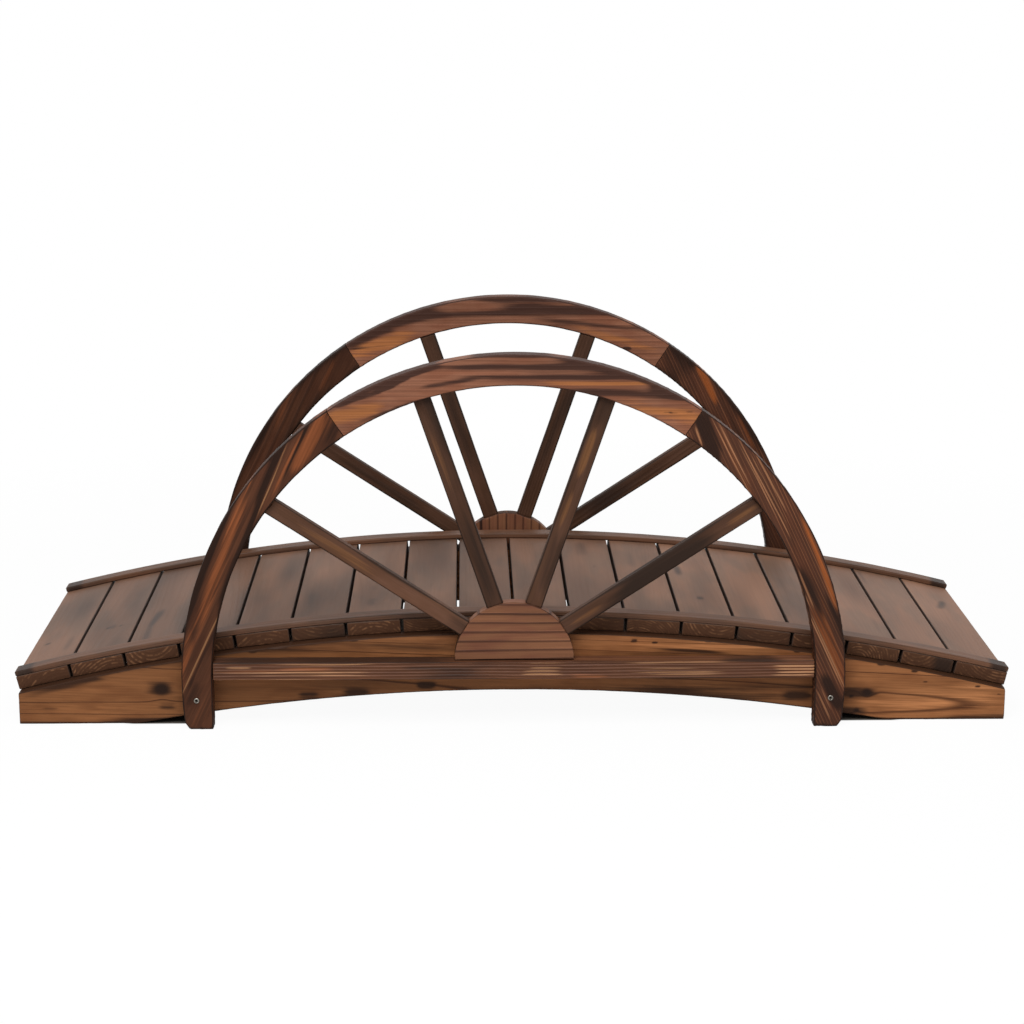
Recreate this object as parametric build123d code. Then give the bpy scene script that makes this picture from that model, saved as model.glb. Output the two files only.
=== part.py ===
from build123d import *
import os
from math import acos, asin, atan2, cos, degrees, radians, sin, sqrt

# Arched garden bridge of charred fir with a half-wheel rail on each side.
# The walkway runs along X, the front rail is at -Y, and everything stands on z = 0.
# Lengths are millimetres, angles are degrees from upright.

# Side beams: boards on edge, bowed on top and hollowed below between two flat feet
beam_length = 1400.0
beam_thickness = 40.0
beam_end_height = 45.5
beam_top_rise = 86.0
beam_hollow_rise = 47.5
beam_foot_length = 168.5

# Deck: flat planks across the beams, with a thin bent strip over their ends
deck_width = 481.0
deck_setback = 17.5
deck_overhang = 1.5
plank_count = 18
plank_thickness = 19.5
plank_gap = 3.5
plank_edge_round = 1.5
strip_width = 29.0
strip_thickness = 7.5

# Rim of the half wheel: three butted pieces, the outer two running down to the ground
rail_thickness = 28.0
rim_outer_radius = 466.5
rim_width = 43.0
rim_centre_height = 66.5
rim_joint_angle = 33.5
rim_foot_bevel_width = 5.0
rim_foot_bevel_height = 9.0

# Bottom bar between the legs, and the half hub that stands on it
bar_height = 25.5
bar_top_height = 97.5
hub_radius = 84.0
hub_thickness = 20.0

# Spokes, seated on flats of the hub and coped to the rim
spoke_width = 24.0
spoke_thickness = 16.0
spoke_high_angle = 18.9
spoke_low_angle = 56.7

# Glue line left at a coped or curved seat, and the bevel planed on the rails' arrises
seat_gap = 0.2
arris_bevel = 1.5

# Sizes that follow from those above
half_length = beam_length / 2
half_deck = deck_width / 2
beam_face = half_deck + deck_setback
rim_inner_radius = rim_outer_radius - rim_width
spoke_angles = {
    "left_low": -spoke_low_angle,
    "left_high": -spoke_high_angle,
    "right_high": spoke_high_angle,
    "right_low": spoke_low_angle,
}
hub_seat = sqrt(hub_radius**2 - (spoke_width / 2) ** 2)


def arc_radius(half_span, rise):
    """Radius of the arc that rises this much over a chord."""
    return (half_span**2 + rise**2) / (2 * rise)


bow_radius = arc_radius(half_length, beam_top_rise)
bow_centre = beam_end_height + beam_top_rise - bow_radius
bow_length = 2 * bow_radius * asin(half_length / bow_radius)
plank_pitch = (bow_length + 2 * deck_overhang + plank_gap) / plank_count
plank_width = plank_pitch - plank_gap
plank_flat = plank_width / 2 - plank_edge_round
strip_radius = sqrt((bow_radius + plank_thickness) ** 2 + plank_flat**2)


def plank_angle(index):
    """Lean of a plank, counted from the left end."""
    return degrees((index - (plank_count - 1) / 2) * plank_pitch / bow_radius)


def upright(profile, y_low, thickness):
    """Stands a profile drawn in x and z upright, from y_low towards the back."""
    return extrude(Plane.XZ.offset(-y_low - thickness) * profile, thickness)


def beside_beam(profile, side, thickness):
    """Stands a profile upright against the outer face of the front (-1) or back (+1) beam."""
    return upright(profile, min(side * beam_face, side * (beam_face + thickness)), thickness)


def eased(solid, kind):
    """Bevels a rail piece's arrises of one kind, straight or round, on its front and back."""
    faces = solid.faces().sort_by(Axis.Y)
    arrises = faces[0].edges() + faces[-1].edges()
    return chamfer(arrises.filter_by(kind), arris_bevel)


def on_circle(centre_height, radius, angle):
    """Point on a circle whose centre is on the bridge's middle line."""
    turn = radians(angle)
    return (radius * sin(turn), centre_height + radius * cos(turn))


def circle_arc(centre_height, radius, angles):
    """Arc between two angles of such a circle."""
    first, last = angles
    middle = (first + last) / 2
    return ThreePointArc(*[on_circle(centre_height, radius, a) for a in (first, middle, last)])


def curved_band(centre_height, inner_radius, outer_radius, angles):
    """Face between two arcs of one centre, closed by a radial cut at each end."""
    outer = circle_arc(centre_height, outer_radius, angles)
    inner = circle_arc(centre_height, inner_radius, angles)
    first_cut = Line(outer @ 0, inner @ 0)
    last_cut = Line(outer @ 1, inner @ 1)
    return make_face([outer, last_cut, inner, first_cut])


def beam_profile():
    """Side of a beam: bowed top, square ends, two feet and the hollow between them."""
    hollow_end = half_length - beam_foot_length
    middle_height = beam_end_height + beam_top_rise
    top = ThreePointArc((half_length, beam_end_height), (0, middle_height), (-half_length, beam_end_height))
    hollow = ThreePointArc((-hollow_end, 0), (0, beam_hollow_rise), (hollow_end, 0))
    left_end = Line((-half_length, beam_end_height), (-half_length, 0))
    right_end = Line((half_length, 0), (half_length, beam_end_height))
    left_foot = Line((-half_length, 0), (-hollow_end, 0))
    right_foot = Line((hollow_end, 0), (half_length, 0))
    return make_face([top, left_end, left_foot, hollow, right_foot, right_end])


def beam(side):
    """Beam whose outer face stands a little proud of the plank ends."""
    y_low = min(side * beam_face, side * (beam_face - beam_thickness))
    return upright(beam_profile(), y_low, beam_thickness)


def plank(index):
    """Deck plank resting on the beams' bow, its long top edges eased."""
    board = Box(plank_width, deck_width, plank_thickness, align=(Align.CENTER, Align.CENTER, Align.MIN))
    board = fillet(board.edges().filter_by(Axis.Y).group_by(Axis.Z)[-1], plank_edge_round)
    return Pos(0, 0, bow_centre) * Rot(0, plank_angle(index), 0) * Pos(0, 0, bow_radius) * board


def edge_strip(side):
    """Bent strip nailed over the plank ends, as long as the deck."""
    corner = degrees(atan2(plank_width / 2, bow_radius + plank_thickness))
    end = plank_angle(plank_count - 1) + corner
    band = curved_band(bow_centre, strip_radius, strip_radius + strip_thickness, (-end, end))
    y_low = min(side * half_deck, side * (half_deck - strip_width))
    return upright(band, y_low, strip_width)


def rim_top(side):
    """Middle piece of the rim, between the two joints."""
    angles = (-rim_joint_angle, rim_joint_angle)
    band = curved_band(rim_centre_height, rim_inner_radius, rim_outer_radius, angles)
    return eased(beside_beam(band, side, rail_thickness), GeomType.CIRCLE)


def rim_leg(side, hand):
    """Left (-1) or right (+1) piece of the rim: curved down to the level of the wheel's centre
    inside and to a bevelled foot outside, then straight inside and cut off at the ground."""
    level = degrees(acos(0))
    foot_reach = sqrt(rim_outer_radius**2 - rim_centre_height**2)
    bevel_angle = level + degrees(asin((rim_centre_height - rim_foot_bevel_height) / rim_outer_radius))
    outer = circle_arc(rim_centre_height, rim_outer_radius, (hand * rim_joint_angle, hand * bevel_angle))
    inner = circle_arc(rim_centre_height, rim_inner_radius, (hand * rim_joint_angle, hand * level))
    toe = (hand * (foot_reach - rim_foot_bevel_width), 0)
    heel = (hand * rim_inner_radius, 0)
    bevel = Line(outer @ 1, toe)
    sole = Line(toe, heel)
    inside = Line(heel, inner @ 1)
    joint = Line(inner @ 0, outer @ 0)
    leg = beside_beam(make_face([outer, bevel, sole, inside, inner, joint]), side, rail_thickness)
    return eased(leg, GeomType.CIRCLE)


def bottom_bar(side):
    """Level bar between the legs, its ends cut square just clear of their curve."""
    bar_bottom = bar_top_height - bar_height
    drop = max(abs(bar_top_height - rim_centre_height), abs(bar_bottom - rim_centre_height))
    reach = sqrt(rim_inner_radius**2 - drop**2) - seat_gap
    profile = Pos(0, bar_top_height) * Rectangle(2 * reach, bar_height, align=(Align.CENTER, Align.MAX))
    return eased(beside_beam(profile, side, rail_thickness), GeomType.LINE)


def along_spoke(angle, start, length):
    """Bar of a spoke's width on a line from the hub's middle."""
    bar = Rectangle(spoke_width, length, align=(Align.CENTER, Align.MIN))
    return Pos(0, bar_top_height) * Rot(0, 0, -angle) * Pos(0, start) * bar


def hub(side):
    """Half hub on the bar, sharp on its edges, with a flat under each spoke."""
    middle = Pos(0, bar_top_height)
    upper_half = Rectangle(2 * hub_radius, hub_radius, align=(Align.CENTER, Align.MIN))
    profile = middle * (Circle(hub_radius) & upper_half)
    for angle in spoke_angles.values():
        profile -= along_spoke(angle, hub_seat, hub_radius)
    return beside_beam(profile, side, hub_thickness)


def spoke(side, angle):
    """Spoke in the middle of the hub's thickness, coped to the inside of the rim."""
    rim_inside = Pos(0, rim_centre_height) * Circle(rim_inner_radius - seat_gap)
    profile = along_spoke(angle, hub_seat, rim_outer_radius) & rim_inside
    middle_y = side * (beam_face + hub_thickness / 2)
    return eased(upright(profile, middle_y - spoke_thickness / 2, spoke_thickness), GeomType.LINE)


def bridge():
    """Every piece of the bridge by name."""
    pieces = {}
    for index in range(plank_count):
        pieces[f"deck_plank_{index + 1:02d}"] = plank(index)
    for name, side in (("front", -1), ("back", 1)):
        pieces[f"{name}_beam"] = beam(side)
        pieces[f"{name}_edge_strip"] = edge_strip(side)
        pieces[f"{name}_rim_top"] = rim_top(side)
        pieces[f"{name}_rim_leg_left"] = rim_leg(side, -1)
        pieces[f"{name}_rim_leg_right"] = rim_leg(side, 1)
        pieces[f"{name}_bottom_bar"] = bottom_bar(side)
        pieces[f"{name}_hub"] = hub(side)
        for place, angle in spoke_angles.items():
            pieces[f"{name}_spoke_{place}"] = spoke(side, angle)
    return pieces


os.makedirs("parts", exist_ok=True)
for node, solid in bridge().items():
    export_step(solid, f"parts/{node}.step")
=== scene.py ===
import logging
import math
from dataclasses import dataclass, field
from enum import Enum
from functools import partial
from typing import Any, Callable

import bmesh
import bpy
import numpy as np
from mathutils import Matrix, Vector


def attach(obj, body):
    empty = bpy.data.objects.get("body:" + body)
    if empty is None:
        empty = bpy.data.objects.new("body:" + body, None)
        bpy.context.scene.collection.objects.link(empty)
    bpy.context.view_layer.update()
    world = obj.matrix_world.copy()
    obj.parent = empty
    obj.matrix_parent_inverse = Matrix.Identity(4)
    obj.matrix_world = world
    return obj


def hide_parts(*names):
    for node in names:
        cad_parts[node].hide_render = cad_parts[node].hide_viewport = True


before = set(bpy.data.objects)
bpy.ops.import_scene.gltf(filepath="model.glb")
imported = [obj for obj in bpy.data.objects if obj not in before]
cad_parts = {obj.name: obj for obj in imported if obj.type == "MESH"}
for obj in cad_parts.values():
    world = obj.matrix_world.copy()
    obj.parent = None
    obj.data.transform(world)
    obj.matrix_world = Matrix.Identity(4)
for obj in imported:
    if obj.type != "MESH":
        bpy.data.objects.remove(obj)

LOG = logging.getLogger("garden_bridge")
MM = 0.001
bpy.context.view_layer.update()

Fields = dict[str, np.ndarray]
Vec3 = tuple[float, float, float]
Mesh, Piece, Material = bpy.types.Mesh, bpy.types.Object, bpy.types.Material
Socket, Tree = bpy.types.NodeSocket, bpy.types.NodeTree

ALONG_X, ALONG_Y, ALONG_Z = (1.0, 0.0, 0.0), (0.0, 1.0, 0.0), (0.0, 0.0, 1.0)
WHITE = "#FFFFFF"

# Settings that many nodes share, and the two colour inputs of a mix node
ADD, LESS, TIMES, TIMES_ADD = ({"operation": kind} for kind in ("ADD", "SUBTRACT", "MULTIPLY", "MULTIPLY_ADD"))
LARGER, SCALE = {"operation": "MAXIMUM"}, {"operation": "SCALE"}
SMOOTH = {"interpolation_type": "SMOOTHSTEP"}
COLOUR_MIX = {"out": 2, "data_type": "RGBA"}
UNDER, OVER = 6, 7
SOCKET_KINDS = {
    int: "NodeSocketInt", float: "NodeSocketFloat", tuple: "NodeSocketVector", Material: "NodeSocketMaterial",
}

# Noise in the wood: length and girth of its bumps in millimetres, its shift and what it adds to the seed
WOOD_NOISES = ((260, 60, 0.5, 0), (70, 22, 0.5, 1), (150, 40, 9.5, 3), (170, 34, 5.5, 4))
HASH_PRIMES = np.array([73856093, 19349663, 83492791])
HASH_SEED, HASH_MIX, HASH_MASK, HASH_LEVELS = 2654435, 1274126177, 0x7FFFFFFF, 65536
# Depth in millimetres and size of the bumps of uneven planing, of knocks and of nicks in the arrises
PLANING, KNOCKS, NICKS = (0.12, 45.0), (0.7, 16.0), (0.25, 7.0)
# Part of a ring at which its hard line ends, the part of an arris's round that counts as on it, and in millimetres
# how high the painted shade at the ground reaches and how deep the margin of a cut end is
RING_END, ROUND_FROM = 0.93, 0.2
GROUND_SHADE_HEIGHT, END_MARGIN = 4.0, 6.0
# How far a normal tilts in an arris, and how squarely it faces on a cut end, on a gap's wall and upwards
ARRIS_TILT, CUT_FACE, WALL_FACE, TOP_FACE = (0.04, 0.28), (0.75, 0.97), (0.55, 0.95), (0.3, 0.9)
# A knot: its length for its width, its rim, the rim's roughness, and how far along and out and how much rings swell
KNOT_LENGTH, KNOT_RIM, KNOT_ROUGH, KNOT_SWELL, KNOT_BROWN = 1.25, (0.55, 1.45), 0.18, (2.6, 2.2, 0.35), "#22140D"
# Rings that widen together, how far along the board in millimetres, and how far fine noise pushes rings and marks
SLOW_RINGS, SLOW_LENGTH, FINE_SHARE, MARK_STRAY = 7, 900, 0.35, 0.8
# Waves of the bundles of fibres and of the flame's tongues for each metre, along and across the grain, and detail
FIBRE_WAVES, TONGUE_WAVES, CLOUD_DETAIL, NOISE_ROUGH = (8.0, 400.0, 3.0), (4.5, 110.0, 4.0), 2.0, 0.6
# Parts of a noise's range between which fibres, patches of stain and clean spots on cut ends show
FIBRE_RANGE, PATCH_RANGE, CLEAN_RANGE = (0.3, 0.7), (0.4, 0.65), (0.42, 0.62)
# Where spared wood, splits and char start and are full, and how far they hide what is below
MARK_RANGES = ((0.2, 0.75, 0.9), (0.25, 0.8, 0.9), (0.2, 0.8, 0.93))
# How much lighter a tone of one is, the gloss of a cut end, and the bump's strength
TONE_SHARE, CUT_SHEEN, BUMP_STRENGTH = 0.35, 0.03, 0.5


def linear(hex_colour: str) -> tuple[float, float, float, float]:
    """Turns an sRGB hex colour into the linear colour that shaders take.

    Args:
        hex_colour: Six hex digits after a hash sign.

    Returns:
        Linear red, green and blue, and an alpha of one.
    """
    values = [int(hex_colour[i : i + 2], 16) / 255 for i in (1, 3, 5)]
    rgb = [v / 12.92 if v <= 0.04045 else ((v + 0.055) / 1.055) ** 2.4 for v in values]
    return (rgb[0], rgb[1], rgb[2], 1.0)


def add_node(
    tree: Tree, kind: str, *values: Any, out: int | str = 0, named: dict | None = None, **settings: Any
) -> Socket | None:
    """Adds a node, sets it up and links it.

    Args:
        tree: Tree that the node goes into.
        kind: Blender's identifier of the node, without ShaderNode where it begins with that.
        values: What its inputs are set to or linked from, in order; None leaves an input alone.
        out: Number or name of the output to hand back.
        named: Inputs given by name or number instead.
        settings: Properties of the node.

    Returns:
        The output, or None where the node has none.
    """
    node = tree.nodes.new(kind if "Node" in kind else f"ShaderNode{kind}")
    for key, value in settings.items():
        setattr(node, key, value)
    for key, value in [*enumerate(values), *(named or {}).items()]:
        if isinstance(value, Socket):
            tree.links.new(value, node.inputs[key])
        elif value is not None:
            node.inputs[key].default_value = value
    return node.outputs[out] if node.outputs else None


def new_material(name: str) -> tuple[Material, Callable[..., Socket]]:
    """Starts a material.

    Args:
        name: Its name.

    Returns:
        The material, and add_node for its empty tree.
    """
    material = bpy.data.materials.new(name)
    material.use_nodes = True
    material.node_tree.nodes.clear()
    return material, partial(add_node, material.node_tree)


def smooth_step(low: float, high: float, value: np.ndarray) -> np.ndarray:
    """Smooth rise from 0 at low to 1 at high."""
    t = np.clip((value - low) / (high - low), 0.0, 1.0)
    return t * t * (3.0 - 2.0 * t)


def soft_noise(points: np.ndarray, seed: int) -> np.ndarray:
    """Smooth seeded noise in space.

    Args:
        points: Places, one row each, with one unit between the noise's bumps.
        seed: Which noise it is.

    Returns:
        One value from -1 to 1 for each place.
    """
    base = np.floor(points).astype(np.int64)
    part = points - base
    part = part * part * (3.0 - 2.0 * part)
    total = np.zeros(len(points))
    for corner in range(8):
        step = np.array([corner & 1, corner >> 1 & 1, corner >> 2 & 1])
        mixed = np.bitwise_xor.reduce((base + step) * HASH_PRIMES, axis=1) ^ seed * HASH_SEED
        mixed = (mixed ^ mixed >> 13) * HASH_MIX & HASH_MASK
        value = (mixed ^ mixed >> 16) % HASH_LEVELS / (HASH_LEVELS / 2 - 0.5) - 1.0
        total += value * np.prod(np.where(step, part, 1.0 - part), axis=1)
    return total


class Side(Enum):
    """The two long sides of the bridge, with the sign of their y."""

    FRONT = -1
    BACK = 1


class Hand(Enum):
    """Left and right along the walkway, with the sign of their x."""

    LEFT = -1
    RIGHT = 1


@dataclass(frozen=True)
class Knot:
    """A knot in a board: its place along and across it and its radius, in millimetres."""

    along: float
    across: float
    radius: float


@dataclass(frozen=True)
class Mark:
    """A mark along a board's grain: place, reach along and across in millimetres, strength, slant and bow."""

    along: float
    across: float
    reach: float
    spread: float
    strength: float
    slant: float = 0.0
    bow: float = 0.0

    def amount(self, along: np.ndarray, across: np.ndarray) -> np.ndarray:
        """How strong the mark is at places on the board.

        Args:
            along: Places along the board, millimetres.
            across: Places across it.

        Returns:
            Strength at each place.
        """
        run = along - self.along
        off = across - self.across - self.slant * run - self.bow * run**2
        return self.strength * np.exp(-((run / self.reach) ** 4) - (off / self.spread) ** 2)


def marks(*rows: tuple[float, ...]) -> tuple[Mark, ...]:
    """Marks from rows of their values."""
    return tuple(Mark(*row) for row in rows)


@dataclass(frozen=True)
class Log:
    """Where a board lay in its tree, which gives its rings, knots and scorch marks.

    Attributes:
        pith: Place of the tree's pith from the board's middle, across and through it, millimetres.
        lean: Drift of the pith for each millimetre along the board, across and through it.
        ring: Width of a year's ring, millimetres.
        knots: Knots in the board.
        burns: Scorch marks on it.
        bares: Places that the flame spared, which show the orange wood.
        splits: Splits and scrapes that go down to clean wood.
        margin_burn: Strength of the scorch along the long edges, and how far in it fades, millimetres.
        smoke: Strength of the uneven scorch over the whole board.
        ground_shade: Strength of the dark line painted as shade where it stands on the ground.
        darkening: Strength of the shade painted dark on its upward faces.
        tone: How light the board is, from -1 to 1.
        fade: Change of the tone for each millimetre along the board.
        mottle: How much lighter and darker it is from place to place.
        wander: How far the rings wander, millimetres.
        phase: Part of a ring by which the rings are shifted.
        jitter: How unequal the rings' widths are, in parts of a ring.
        seed: Seed of its noise.
    """

    pith: tuple[float, float]
    ring: float
    seed: int
    lean: tuple[float, float] = (0.0, 0.0)
    knots: tuple[Knot, ...] = ()
    burns: tuple[Mark, ...] = ()
    bares: tuple[Mark, ...] = ()
    splits: tuple[Mark, ...] = ()
    margin_burn: tuple[float, float] = (0.0, 8.0)
    smoke: float = 0.3
    ground_shade: float = 0.0
    darkening: float = 0.0
    tone: float = 0.0
    fade: float = 0.0
    mottle: float = 0.5
    wander: float = 1.2
    phase: float = 0.0
    jitter: float = 0.3


@dataclass(frozen=True)
class Grain:
    """A board's own axes in the bridge's frame: its middle, the way its grain runs and the way its width runs."""

    middle: Vec3
    along: Vec3 = ALONG_X
    across: Vec3 = ALONG_Z

    def axes(self) -> np.ndarray:
        """The board's axes.

        Returns:
            Rows of unit vectors along, across and through the board.
        """
        along = np.array(self.along) / np.linalg.norm(self.along)
        across = np.array(self.across) - along * np.dot(self.across, along)
        across = across / np.linalg.norm(across)
        return np.stack([along, across, np.cross(along, across)])


@dataclass(frozen=True)
class FirFinish:
    """Fir, torched with a gas flame, brushed and stained: soft rings burn back, hard rings stand proud.

    Attributes:
        name: Name of the material.
        early: Colour of the wide soft part of each ring.
        late: Colour of the hard line that ends each ring.
        stain: Second tone of the stain, in cloudy patches.
        char: Colour where the flame stayed.
        bare: Colour of the wood that the flame spared.
        split: Colour of a split or a scrape that goes down to clean wood.
        cut_early: Colour of the soft rings on a cut end.
        cut_late: Colour of the hard rings on a cut end.
        late_from: Part of a ring's width at which the hard line begins, from 0 to 1.
        crisp: Part of a ring's width over which it begins.
        contrast: How strongly the rings show, from 0 to 1.
        even: How strong the weakest ring is beside the strongest, from 0 to 1.
        patches: How strongly the second tone shows, from 0 to 1.
        singe: How strongly the arrises are burnt, from 0 to 1.
        ragged: How far the flame's tongues reach along the grain, from 0 to 2.
        cloud: Waves of the stain's patches for each metre, along and across the grain.
        fibre: How strongly the fibres show, from 0 to 1.
        sheen: Strength of the surface's gloss, where 0.5 is bare polished wood.
        rough: Roughness of the surface.
        relief: Height of the brushed rings, millimetres.
    """

    name: str
    early: str
    late: str
    stain: str
    char: str
    bare: str = "#A8683A"
    split: str = "#B98E64"
    cut_early: str = "#3B2518"
    cut_late: str = "#7C5638"
    late_from: float = 0.3
    crisp: float = 0.3
    contrast: float = 0.8
    even: float = 0.35
    patches: float = 0.5
    singe: float = 0.5
    ragged: float = 1.2
    cloud: tuple[float, float] = (14.0, 40.0)
    fibre: float = 0.2
    sheen: float = 0.08
    rough: float = 0.5
    relief: float = 0.2

    def ring_height(self, phase: np.ndarray) -> np.ndarray:
        """How far into its ring's hard line each place is.

        Args:
            phase: Count of rings from the pith at each place.

        Returns:
            Values from 0 to 1.
        """
        part = phase - np.floor(phase)
        rise = smooth_step(self.late_from, self.late_from + self.crisp, part)
        return rise * (1.0 - smooth_step(RING_END, 1.0, part))

    def material(self) -> Material:
        """Builds the material from the attributes that each board carries.

        Returns:
            The material.
        """
        material, node = new_material(self.name)
        ring, burn, bare, split, knot, edge, cut, tone = (
            node("Attribute", out="Fac", attribute_name=key)
            for key in ("ring", "burn", "bare", "split", "knot", "edge", "cut", "tone")
        )
        fibre = node("Attribute", out="Vector", attribute_name="fibre")
        # Along and across the grain, in waves for each metre. Fibres are about 0.05 mm across in fir, far too
        # fine to show, so bundles of 2.5 mm by 120 mm stand for them. The flame licks in tongues of about 9 mm
        # by 220 mm, and stain soaks in over patches of about 25 mm by 70 mm or more.
        bundle, tongue, cloud = (
            node("TexNoise", node("VectorMath", fibre, (run, girth, girth), **TIMES), None, 1.0, detail, NOISE_ROUGH)
            for run, girth, detail in (FIBRE_WAVES, TONGUE_WAVES, (*self.cloud, CLOUD_DETAIL))
        )
        fine = node("Math", bundle, 0.5 * self.ragged, -0.75 * self.ragged, **TIMES_ADD)
        lick = node("Math", tongue, self.ragged, fine, **TIMES_ADD)

        year = node("Math", lick, min(0.15, self.crisp), ring, **TIMES_ADD)
        part = node("Math", year, operation="FRACT")
        vigour = node("TexWhiteNoise", None, node("Math", year, operation="FLOOR"), noise_dimensions="1D")
        rise = node("MapRange", part, self.late_from, self.late_from + self.crisp, **SMOOTH)
        line = node("Math", rise, node("MapRange", part, 1.0, RING_END, **SMOOTH), **TIMES)
        strength = node("MapRange", vigour, None, None, self.even * self.contrast, self.contrast)
        late = node("Math", line, strength, **TIMES)
        patch = node("MapRange", cloud, *PATCH_RANGE, None, self.patches, **SMOOTH)
        flame = node("Math", edge, self.singe, burn, **TIMES_ADD)
        # Each mark's edge follows the flame's tongues, so it ends in streaks along the grain
        bared, parted, burnt = (
            node("MapRange", node("Math", amount, lick, **ADD), lowest, highest, None, top, **SMOOTH)
            for amount, (lowest, highest, top) in zip((bare, split, flame), MARK_RANGES)
        )
        streak = node("MapRange", bundle, *FIBRE_RANGE, 1.0 - self.fibre, 1.0 + self.fibre)
        shade = node("Math", streak, node("Math", tone, TONE_SHARE, 1.0, **TIMES_ADD), **TIMES)

        colour = linear(self.early)
        for share, over in ((patch, self.stain), (bared, self.bare), (late, self.late), (parted, self.split)):
            colour = node("Mix", share, named={UNDER: colour, OVER: linear(over)}, **COLOUR_MIX)
        # Cut ends drink more stain, so they come out dark with the hard rings as lighter arcs,
        # and the saw's burn hides most of them
        cleaner = node("MapRange", tongue, *CLEAN_RANGE, **SMOOTH)
        arc = node("Math", line, node("Math", vigour, cleaner, **TIMES), **TIMES)
        end = node("Mix", arc, named={UNDER: linear(self.cut_early), OVER: linear(self.cut_late)}, **COLOUR_MIX)
        colour = node("Mix", cut, named={UNDER: colour, OVER: end}, **COLOUR_MIX)
        colour = node("VectorMath", colour, named={"Scale": shade}, **SCALE)
        # The char colour also paints shade where the burn field carries it: on gap walls, round the planks' ends, near
        # the ground and on upward faces
        for share, over in ((burnt, self.char), (knot, KNOT_BROWN)):
            colour = node("Mix", share, named={UNDER: colour, OVER: linear(over)}, **COLOUR_MIX)

        height = node("Math", bundle, 0.6, line, **TIMES_ADD)
        deep = (0.05 + 1.6 * self.relief) * MM
        bump = node("Bump", named={"Height": height, "Strength": BUMP_STRENGTH, "Distance": deep})
        dull, bright = self.rough + 0.4 * self.fibre, self.rough - 0.3 * self.fibre
        gloss = node("MapRange", bundle, *FIBRE_RANGE, dull, bright)
        shine = node("MapRange", cut, None, None, self.sheen, CUT_SHEEN)
        inputs = {"Base Color": colour, "Roughness": gloss, "Specular IOR Level": shine, "Normal": bump}
        node("OutputMaterial", node("BsdfPrincipled", named=inputs))
        return material


# Walked-on planks: stain worn thin and grey-brown, rings faint, cloudy patches, a soft grey sheen at a low angle
DECK_FIR = FirFinish(
    "torched_fir_worn_planks", "#6F503E", "#5A4134", "#574539", "#30241E", bare="#7A5646", cut_early="#4A3123",
    cut_late="#79553C", late_from=0.4, contrast=0.15, patches=0.55, singe=0.4, ragged=0.35, cloud=(6.0, 20.0),
    fibre=0.03, sheen=0.24, rough=0.55, relief=0.1,
)
# Bent strips: the same stain, less worn, with burnt arrises
STRIP_FIR = FirFinish(
    "torched_fir_bent_strip", "#5F402E", "#402A1D", "#4C372B", "#281A13", late_from=0.5, contrast=0.4, patches=0.7,
    singe=0.7, ragged=0.9, fibre=0.1, sheen=0.18, relief=0.12,
)
# Side beams: lightly flamed, so the orange-brown of the stained fir and its thin dark ring lines stay clear
BEAM_FIR = FirFinish(
    "stained_fir_side_beam", "#855634", "#3A1E10", "#6B4024", "#2A1910", bare="#A87047", late_from=0.89, crisp=0.04,
    contrast=1.0, even=0.6, singe=0.6, ragged=1.1, sheen=0.1, rough=0.55, relief=0.25,
)
# Rim tops: flat-sawn boards whose soft rings the flame turned into broad dark bands
RIM_TOP_FIR = FirFinish(
    "torched_fir_rim_top", "#7D533F", "#59362A", "#6D412E", "#35221C", bare="#965E36", late_from=0.55, contrast=0.25,
    patches=0.6, singe=0.6, ragged=1.3, fibre=0.16,
)
# Left rim legs: deeply flamed, with a stripe of spared orange wood down the middle
LEG_DARK_FIR = FirFinish(
    "torched_fir_dark_leg", "#4A2C1D", "#301D14", "#3E2216", "#20130D", bare="#764226", split="#7C573A",
    late_from=0.5, contrast=0.6, singe=0.8, fibre=0.18, relief=0.3,
)
# Right rim legs: flamed and brushed, so the hard rings stand out as thin tan lines on dark brown
LEG_LINED_FIR = FirFinish(
    "torched_fir_lined_leg", "#43281C", "#724830", "#522E1E", "#23150F", bare="#854721", split="#8A5F42",
    late_from=0.62, crisp=0.15, contrast=0.85, even=0.15, singe=0.8, fibre=0.22, sheen=0.1, rough=0.46, relief=0.4,
)
# Spokes: dark brown all round with little figure, scorched in places
SPOKE_FIR = FirFinish(
    "torched_fir_spoke", "#4E3528", "#3B2718", "#442C1E", "#271C16", bare="#734D30", late_from=0.4, contrast=0.3,
    patches=0.6, singe=0.4, ragged=0.7, fibre=0.1,
)
# Hubs: red-brown, the hard rings dark, a hand's breadth of them across the face
HUB_FIR = FirFinish(
    "torched_fir_hub", "#724B34", "#321B14", "#653A2D", "#281813", late_from=0.66, crisp=0.2, contrast=0.85, even=0.7,
    ragged=1.0, fibre=0.14, sheen=0.12, relief=0.35,
)
# Bottom bars: brushed until the hard rings stand proud as ridges that catch the light
BAR_FIR = FirFinish(
    "torched_fir_brushed_bar", "#573624", "#724B33", "#4A2D20", "#291A13", bare="#7C4A2D", split="#9E7452",
    late_from=0.5, contrast=0.6, even=0.1, sheen=0.12, rough=0.42, relief=0.6,
)
FINISHES = {
    finish.name: finish.material()
    for finish in (
        DECK_FIR, STRIP_FIR, BEAM_FIR, RIM_TOP_FIR, LEG_DARK_FIR, LEG_LINED_FIR, SPOKE_FIR, HUB_FIR, BAR_FIR,
    )
}


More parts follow.
